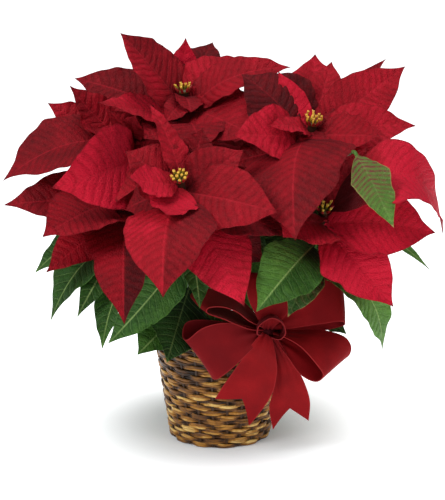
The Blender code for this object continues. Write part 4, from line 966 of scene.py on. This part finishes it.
def wicker_material():
    """Varnished cane: golden where a strand lies over, browner where it goes under, partly the cane's own
    colour and partly painted shade behind the stakes; with painted shade in the crevices between rows and a
    painted shadow of the leaves on its upper left.
    """
    shader = Shader("wicker_cane", 0.42, specular=0.22, coat=0.12)
    shader.surface.inputs["Coat Roughness"].default_value = 0.22
    along, across, over = shader.split("strand")
    row, seed, kind = shader.split("place")
    fibre = shader.noise(1.0, 3.0, shader.join((along, 0.05), (across, 9.0), (row, 31.0)))
    patch = shader.noise(1.0, 2.0, shader.join((along, 0.11), (across, 0.8), (seed, 17.0)))
    x, _, z = shader.parts(shader.place)
    # Painted shade, partly the cane's own colour: darker where a cane goes under behind the stakes, and the
    # stakes, always under, darkest
    light = shader.calc("MULTIPLY_ADD", over, 0.20, shader.times(patch, 0.75))
    light = shader.swayed(light, fibre, 0.60)
    light = shader.swayed(light, seed, 0.55)
    # Painted shadow of the leaves above: the upper left of the basket is darker
    painted_leaf_shadow = shader.times(shader.step(z, 0.050, 0.085), shader.step(x, -0.05, 0.02, -0.16, -0.05))
    light = shader.calc("ADD", light, painted_leaf_shadow)
    body = shader.ramp(light, (0.0, 32, 18, 8), (0.22, 80, 48, 20), (0.42, 126, 80, 28),
                       (0.66, 178, 122, 44), (0.92, 240, 202, 122))
    # Painted shade in the crevices: the top and bottom edges of each cane, where it meets the next row, are
    # darker
    painted_crevice_shade = shader.step(shader.calc("ABSOLUTE", shader.calc("SUBTRACT", across, 0.5)), 0.25, 0.50, 0.0, 0.8)
    body = shader.mix(painted_crevice_shade, body, colour(34, 20, 11))
    body = shader.mix(kind, body, colour(50, 32, 19))
    height = shader.calc("ADD", fibre, shader.times(shader.noise(900.0, 2.0), 0.4))
    rough = shader.step(fibre, 0.3, 0.7, 0.30, 0.46)
    return shader.finish(body, shader.bump(height, 0.0004, 0.8), rough)


def ribbon_material():
    """Velvet with a thin paler woven edge, and painted shade where a loop turns from the light, where it is
    drawn in, on its underside and on the knot.
    """
    shader = Shader("ribbon_velvet", 0.70, specular=0.08, sheen=0.14)
    shader.surface.inputs["Sheen Roughness"].default_value = 0.35
    shader.surface.inputs["Sheen Tint"].default_value = (1.0, 0.22, 0.24, 1.0)
    along, across, dark = shader.split("ribbon")
    pile = shader.noise(1500.0, 2.0)
    nap = shader.noise(38.0, 3.0)
    level = shader.calc("MULTIPLY_ADD", nap, 0.6, shader.times(pile, 0.4))
    body = shader.ramp(level, (0.2, 96, 8, 12), (0.5, 126, 12, 17), (0.8, 152, 19, 24))
    # Painted shade: mixed towards deep red by the third ribbon value
    body = shader.mix(dark, body, colour(44, 5, 12))
    edge = shader.step(shader.calc("ABSOLUTE", across), 0.955, 0.975)
    body = shader.mix(shader.times(edge, 0.35), body, colour(176, 50, 52))
    weave = shader.calc("SINE", shader.times(along, 9.0))
    height = shader.calc("ADD", pile, shader.times(shader.times(weave, edge), 0.4))
    return shader.finish(body, shader.bump(height, 0.0003, 0.6))


def soil_material():
    shader = Shader("soil_peat", 0.95, specular=0.2)
    grain = shader.noise(420.0, 6.0)
    body = shader.ramp(grain, (0.3, 20, 14, 10), (0.55, 52, 38, 27), (0.75, 92, 70, 50))
    _, _, pale = shader.split("crumb")
    body = shader.mix(pale, body, colour(206, 202, 190))
    return shader.finish(body, shader.bump(grain, 0.0012, 0.9))


def pot_material():
    shader = Shader("pot_plastic", 0.5, specular=0.4)
    scuff = shader.noise(60.0, 5.0)
    body = shader.ramp(scuff, (0.35, 26, 26, 27), (0.7, 44, 43, 42))
    rough = shader.step(scuff, 0.3, 0.7, 0.42, 0.62)
    return shader.finish(body, shader.bump(shader.noise(800.0, 2.0), 0.0001, 0.5), rough)


def wire_material():
    shader = Shader("wire_enamel", 0.42)
    worn = shader.noise(500.0, 4.0)
    body = shader.ramp(worn, (0.3, 26, 62, 30), (0.7, 60, 104, 54))
    return shader.finish(body, shader.bump(worn, 0.0001, 0.4))


def stems(heap, cutting):
    """Trunk, branches with a knot at each leaf scar, and long stalks of a cutting."""
    (x, y), carried = CUTTINGS[cutting]
    green = {"vein": (0.0, 9.0, 1.0)}
    tube(heap, [(x, y, z) for z in np.linspace(TRUNK_FOOT, TRUNK_TOP, 12)],
         np.linspace(*TRUNK_RADII, 12), 14, **green)
    for bloom in carried:
        t = np.linspace(0, 1, 34)
        knots = 0.35 * np.exp(-(((t * 9) % 1.0 - 0.5) / 0.12) ** 2)
        tube(heap, branch_point(bloom, t), np.linspace(*BRANCH_RADII, 34) - 0.25 + knots, 12, **green)
    for number, route in LONG_STALKS.items():
        bloom, place, tip, *_ = FRONT_LEAVES[number]
        if bloom in carried:
            line = [branch_point(bloom, place), *route, route[-1] + 4.0 * unit(np.subtract(tip, route[-1]))]
            tube(heap, through(line, np.linspace(0, 1, 20)), LONG_STALK_RADIUS, 10, **green)


def plant_pieces():
    """The leafy stems and the bracts, each one standing for its own solid."""
    bract, leaf = bract_material(), leaf_material()
    blades = all_blades()
    for cutting in CUTTINGS:
        node = f"leafy_stems_{cutting}"
        heap = Heap("blade", "vein", "mood")
        stems(heap, cutting)
        for blade in blades:
            if blade.node == node:
                blade.add_to(heap)
        heap.piece(f"leaves_and_stems_{cutting}", leaf, "leaf", node)
    for bloom in BLOOMS:
        node = f"bracts_{bloom}"
        heap = Heap("blade", "vein", "mood")
        depths = np.linspace(HUB_LENGTH, SEAT_DEPTH, 14)
        tube(heap, [bloom_point(bloom, depth) for depth in depths], np.linspace(*HUB_RADII, 14) - 0.3, 14,
             vein=(0.0, 9.0, 1.0))
        for blade in blades:
            if blade.node == node:
                blade.add_to(heap)
        heap.piece(f"bloom_bracts_{bloom}", bract, "bract", node)


def flower_piece(bloom, material):
    """Green cups with yellow lips and anthers; bloom D has tall curved ones."""
    centre, axis = BLOOMS[bloom]
    centre, axis = np.asarray(centre, float), unit(axis)
    side = unit(np.cross(axis, (0, 1, 0.2)))
    other = np.cross(axis, side)

    def outward(angle):
        return side * math.cos(angle) + other * math.sin(angle)

    heap = Heap("cup")
    turned(heap, centre, axis, SEAT_PROFILE, 18, cup=(0.1, 3.0, 0.0))
    tall = bloom == "D"
    ring = 8 if bloom in "BD" else 5
    places = [(*OUTER_FLOWERS, 2 * math.pi * k / ring) for k in range(ring)]
    places += [(*INNER_FLOWERS, 2 * math.pi * (k + 0.4) / 3) for k in range(3)]
    for number, (distance, lean, turn) in enumerate(places):
        out = outward(turn + RNG.uniform(-0.15, 0.15))
        along = unit(axis + out * lean)
        foot = centre + out * distance * 0.9 + axis * 0.6
        size = RNG.uniform(0.85, 1.1)
        if tall:
            length = 9.2 * size
            t = np.linspace(0, 1, 12)[:, None]
            bow = 1.8 if number % 3 else -1.2
            line = foot + along * length * t + out * bow * np.sin(math.pi * t) - out * 0.8 * t
            radii = 0.72 + 0.25 * np.sin(math.pi * t[:, 0] * 0.9) + 0.40 * smooth(t[:, 0], 0.75, 0.9)
            tube(heap, line, radii, 10, cup=triples(np.repeat(0.10 + 0.92 * t[:, 0], 10), 0.0, 0.0))
            top = line[-1]
        else:
            length = (5.6 if bloom == "B" else 6.6) * size
            wide = (1.85 if bloom == "B" else 1.55) * size
            profile = [(wide * out_share, length * up_share) for out_share, up_share in CUP_PROFILE]
            turned(heap, foot, along, profile, 12, cup=lambda t: (t, 0.0, 0.0))
            top = foot + along * length
        for k in range(5):
            place = top + 0.9 * outward(2.4 * k + number) + along * RNG.uniform(-0.1, 0.7)
            turned(heap, place, along, ANTHER_PROFILE, 7, cup=(1.0, 1.0, 0.0))
    for k in range(ring + 2):
        out = outward(2 * math.pi * (k + 0.5) / (ring + 2))
        turned(heap, centre + out * GLAND_CIRCLE, unit(axis + 0.75 * out), GLAND_PROFILE, 8,
               cup=(0.2, 2.0, 0.0))
    heap.piece(f"bloom_flowers_{bloom}", material, "flower", f"flowers_{bloom}")


def cane(heap, strand, slope):
    """One of a row's two canes: over and under the stakes, with a colour for each stretch."""
    steps, sides = 252, 7
    row, upper = divmod(strand, 2)
    turn = circle(steps)
    angles = circle(sides)
    section_out = np.sign(np.cos(angles)) * np.abs(np.cos(angles)) ** 0.8
    section_up = np.sign(np.sin(angles)) * np.abs(np.sin(angles)) ** 0.75
    drift = RNG.uniform(0, 2 * math.pi, 6)
    swing = WEAVE_PERIODS * turn + math.pi * row + 0.35 * math.sin(2.1 * row) + 0.16 * upper
    wave = np.sin(swing + 0.24 * np.sin(3 * turn + 1.7 * row))
    over = np.tanh(1.8 * (wave + 0.42 + 0.20 * np.sin(5 * turn + drift[0]))) / math.tanh(2.5)
    seeds = RNG.uniform(0, 1, 2 * WEAVE_PERIODS)
    seed = seeds[((swing / (2 * math.pi) + 0.25).astype(int)) % len(seeds)]
    lift = 0.40 * np.sin(2 * turn + 2.3 * row) + 0.30 * np.sin(5 * turn + 1.1 * row) + 0.30 * np.cos(swing)
    lift = lift + 0.28 * np.sin(9 * turn + drift[1]) + 0.20 * np.sin(17 * turn + drift[2])
    height = np.clip((row + 0.26 + 0.48 * upper) * WOVEN_HEIGHT / WEAVE_ROWS + lift, 2.2, WOVEN_HEIGHT)
    half_up = CANE_HALF_HEIGHT + 0.10 * over + 0.20 * np.sin(7 * turn + drift[3])
    half_out = CANE_HALF_WIDTH + 0.15 * over
    radius = BASKET_FOOT_RADIUS + slope * height - 0.2 + 0.85 * over + 0.30 * wave
    radius = radius + 0.18 * np.sin(11 * turn + drift[4]) + 0.16 * np.sin(23 * turn + drift[5])
    points = around(radius[:, None] + half_out[:, None] * section_out, turn[:, None],
                    height[:, None] + half_up[:, None] * section_up)
    heap.add(points, [hoop_faces(steps, sides)],
             strand=triples((radius * turn)[:, None], 0.5 + 0.5 * section_up, over[:, None]),
             place=triples(strand / (2 * WEAVE_ROWS), seed[:, None] + 0 * section_up, 0.0))


def closed_ring(heap, radius, height, turn, thick, sides, look):
    """A round strand that runs once round the axis and meets itself."""
    over, shade = look
    angles = circle(sides)
    points = around(radius[:, None] + thick * np.cos(angles), turn[:, None],
                    height[:, None] + thick * np.sin(angles))
    heap.add(points, [hoop_faces(len(turn), sides)], place=(shade, shade, 0.0),
             strand=triples((radius * turn)[:, None], 0.5 + 0.25 * np.sin(angles), over))


def wicker_piece():
    """Rows of cane woven round upright stakes, a twisted rim and a woven base."""
    heap = Heap("strand", "place")
    slope = (BASKET_RIM_RADIUS - BASKET_FOOT_RADIUS) / BASKET_HEIGHT
    for strand in range(2 * WEAVE_ROWS):
        cane(heap, strand, slope)
    z = np.linspace(1.5, WOVEN_HEIGHT + 1.5, 10)
    for k in range(2 * WEAVE_PERIODS):
        stake = around(BASKET_FOOT_RADIUS + slope * z - 0.4, math.pi * (k + 0.5) / WEAVE_PERIODS, z)
        tube(heap, stake, STAKE_RADIUS, 8, strand=(0.0, 0.5, -1.0), place=(0.0, 0.5, 0.75))
    ring = circle(360)
    for start in (0.0, math.pi):
        twist = RIM_TWISTS * ring + start
        radius = BASKET_RIM_RADIUS - RIM_INSET + RIM_TWIST * np.cos(twist)
        closed_ring(heap, radius, RIM_CENTRE + RIM_TWIST * np.sin(twist), ring, RIM_CANE, 8,
                    (0.4, 0.35 + 0.4 * (start > 0)))
    ring = ring[::3]
    for number, radius in enumerate(np.arange(5.0, BASKET_FOOT_RADIUS - 3, BASE_SPACING)):
        z = BASE_HEIGHT + 0.55 * np.cos(WEAVE_PERIODS * ring + math.pi * number)
        closed_ring(heap, radius + 0 * ring, z, ring, BASE_CANE, 6, (0.0, (0.37 * number) % 1.0))
    heap.piece("woven_basket", wicker_material(), "wicker", "wicker_basket", sharp=70.0)


def ribbon_length(edge_a, edge_b):
    """Length of a strip along its middle."""
    t = np.linspace(0, 1, 60)
    middle = 0.5 * (through(edge_a, t) + through(edge_b, t))
    return np.linalg.norm(np.diff(middle, axis=0), axis=1).sum()


def ribbon(heap, edge_a, edge_b, rows, seed, dark, notch=0.0):
    """A strip of ribbon between two smooth edges, pleated where it is drawn in at the knot, with painted
    shade there and a little on its underside.
    """
    columns = 17
    t = np.linspace(0, 1, rows)[:, None]
    c = np.linspace(0, 1, columns)[None, :]
    s = t * (1 - notch * (1 - np.abs(2 * c - 1)))
    a = through(edge_a, s.ravel()).reshape(rows, columns, 3)
    b = through(edge_b, s.ravel()).reshape(rows, columns, 3)
    middle = (1 - c[..., None]) * a + c[..., None] * b
    width = np.linalg.norm(b - a, axis=-1)
    normal = unit(np.cross(np.gradient(middle, axis=0), b - a))
    drawn = np.clip(1 - width / RIBBON_WIDTH, 0.0, 1.0)
    pleat = RIBBON_PLEAT * drawn ** 1.3 * np.sin(2 * math.pi * 2.5 * c + seed)
    crown = RIBBON_CROWN * np.sin(math.pi * c) * np.sin(2 * math.pi * 1.2 * t + seed)
    middle = middle + normal * (pleat + crown * (1 - drawn))[..., None]
    thick = RIBBON_THICKNESS * (1 + 0.2 * (np.abs(2 * c - 1) > 0.95)) + 0 * t
    top = middle + normal * (0.5 * thick)[..., None]
    under = middle - normal * (0.5 * thick)[..., None]
    total = rows * columns
    i = np.arange(total).reshape(rows, columns)
    j = i + total
    faces = [
        grid_faces(rows, columns, flip=True),
        grid_faces(rows, columns) + total,
        np.stack((i[:-1, 0], j[:-1, 0], j[1:, 0], i[1:, 0]), axis=-1),
        np.stack((i[:-1, -1], i[1:, -1], j[1:, -1], j[:-1, -1]), axis=-1),
        np.stack((i[0][:-1], i[0][1:], j[0][1:], j[0][:-1]), axis=-1),
        np.stack((i[-1][:-1], j[-1][:-1], j[-1][1:], i[-1][1:]), axis=-1),
    ]
    length = ribbon_length(edge_a, edge_b)
    # Painted shade: the loop's own share, more where the strip is drawn in at the knot, and a little more
    # on its underside
    shade = np.clip(dark + 0.75 * smooth(drawn, 0.55, 1.0), 0.0, 0.9)
    values = triples(t * length, 2 * c - 1, shade)
    heap.add(np.concatenate((top.reshape(-1, 3), under.reshape(-1, 3))), faces,
             ribbon=np.concatenate((values, values + (0, 0, 0.12))))
    return length


def bow_piece():
    """Loops, tails and knot of one velvet ribbon."""
    heap = Heap("ribbon")
    length = 0.0
    for number, (name, (edge_a, edge_b)) in enumerate(BOW_LOOPS.items()):
        length += ribbon(heap, edge_a, edge_b, 96, 1.3 * number, RIBBON_PAINTED_SHADES.get(name, 0.0))
    for number, (edge_a, edge_b) in enumerate(BOW_TAILS.values()):
        length += ribbon(heap, edge_a, edge_b, 72, 2.1 + number, 0.0, TAIL_NOTCH)
    turn = circle(32)
    rise = np.linspace(0.06, math.pi - 0.06, 16)[:, None]
    pleated = np.sin(rise) * (1 + 0.05 * np.cos(9 * turn))
    knot = np.array(KNOT_CENTRE) + around(pleated, turn, -np.cos(rise)) * KNOT_RADII
    # Painted shade: the knot is painted nearly all dark
    heap.add(knot, capped(16, 32), ribbon=(0.0, 0.0, 0.9))
    bow = heap.piece("velvet_bow", ribbon_material(), "ribbon", "bow_ribbon", sharp=60.0)


def soil_piece():
    """Crumbly potting soil with pale grains, filling the pot."""
    heap = Heap("crumb")
    sides = 72
    low, high = SOIL_RADII
    turn = circle(sides)
    rings = np.linspace(1.0, 0.02, 26)[:, None]
    rough = RNG.normal(0, SOIL_ROUGHNESS, (len(rings), sides))
    rough[0] = 0.0
    z = np.minimum(SOIL_TOP + soil_crown(rings) + rough, SOIL_TOP + SOIL_PEAK)
    z = np.vstack((np.full(sides, SOIL_FOOT), z))
    radius = np.vstack((np.full(sides, low), high * 0.985 * rings * np.ones(sides)))
    heap.add(around(radius, turn, z), capped(len(z), sides))
    for k in range(CRUMBS):
        r = (high - 3.0) * math.sqrt(RNG.uniform(0, 1))
        a = RNG.uniform(0, 2 * math.pi)
        size = RNG.uniform(0.5, 1.3)
        top = min(SOIL_TOP + soil_crown(r / high) + 0.2, SOIL_TOP + SOIL_PEAK - size)
        turned(heap, (r * math.cos(a), r * math.sin(a), top), RNG.normal(0, 1, 3),
               [(size * out, size * up) for out, up in CRUMB_PROFILE], 6,
               crumb=(0.0, 0.0, float(k % 14 == 0)))
    heap.piece("crumbly_soil", soil_material(), "soil", "potting_soil")


def soil_crown(share):
    """How far the soil rises over its top edge, by the share of the radius."""
    return 2.2 * (1 - share ** 2) - 0.8


def placed(name, data, place=(0.0, 0.0, 0.0)):
    made = bpy.data.objects.new(name, data)
    made.location = place
    bpy.context.scene.collection.objects.link(made)
    return made


def floor():
    """Pale floor, with a painted shadow that makes it slightly greyer round the foot of the pot."""
    mesh = bpy.data.meshes.new("floor")
    edges = [(x * FLOOR_HALF, y * FLOOR_HALF, 0) for x, y in ((-1, -1), (1, -1), (1, 1), (-1, 1))]
    mesh.from_pydata(edges, [], [(0, 1, 2, 3)])
    shader = Shader("floor_paper", 0.9, specular=0.1)
    shader.surface.inputs["Emission Color"].default_value = (1, 1, 1, 1)
    away = shader.tree.nodes.new("ShaderNodeVectorMath")
    away.operation = "DISTANCE"
    away.inputs[1].default_value = PAINTED_SHADOW_CENTRE
    shader.put(away.inputs[0], shader.place)
    # Painted shadow: the glow falls off towards the foot of the pot
    glow = shader.step(away.outputs["Value"], *PAINTED_SHADOW_RADII, *FLOOR_GLOW)
    shader.put(shader.surface.inputs["Emission Strength"], glow)
    mesh.materials.append(shader.finish(shader.mix(shader.noise(3.0, 2.0), *FLOOR_COLOURS)))
    placed("floor", mesh)


def lights():
    """Soft light from the upper left, the right and above, and a white world with little light."""
    for name, place, width, watts in LIGHTS:
        lamp = bpy.data.lights.new(name, "AREA")
        lamp.shape = "DISK"
        lamp.size = width
        lamp.energy = watts
        made = placed(name, lamp, place)
        made.rotation_euler = (Vector(LIGHT_AIM) - made.location).to_track_quat("-Z", "Y").to_euler()
    world = bpy.data.worlds.new("studio")
    world.use_nodes = True
    tree = world.node_tree
    path = tree.nodes.new("ShaderNodeLightPath")
    both = tree.nodes.new("ShaderNodeMixShader")
    tree.links.new(path.outputs["Is Camera Ray"], both.inputs[0])
    shades = (tree.nodes["Background"], AMBIENT), (tree.nodes.new("ShaderNodeBackground"), 1.0)
    for socket, (shade, strength) in zip(both.inputs[1:], shades):
        shade.inputs["Color"].default_value = (1, 1, 1, 1)
        shade.inputs["Strength"].default_value = strength
        tree.links.new(shade.outputs[0], socket)
    tree.links.new(both.outputs[0], tree.nodes["World Output"].inputs["Surface"])
    bpy.context.scene.world = world
    bpy.context.scene.view_settings.view_transform = "Standard"


def camera():
    """The photo's view: level with the front and a little from above."""
    lens = bpy.data.cameras.new("camera")
    lens.sensor_fit = "VERTICAL"
    lens.sensor_height = CAMERA_SENSOR
    lens.lens = CAMERA_LENS
    rise = math.radians(CAMERA_ELEVATION)
    back = CAMERA_DISTANCE * np.array((0.0, -math.cos(rise), math.sin(rise)))
    made = placed("camera", lens, np.array(CAMERA_TARGET) + back)
    made.rotation_euler = (math.pi / 2 - rise, 0.0, 0.0)
    bpy.context.scene.camera = made


plant_pieces()
waxy = flower_material()
for bloom in BLOOMS:
    flower_piece(bloom, waxy)
wicker_piece()
bow_piece()
soil_piece()
bpy.data.objects["grower_pot"].material_slots[0].material = pot_material()
bpy.data.objects["bow_wire"].material_slots[0].material = wire_material()
floor()
lights()
camera()
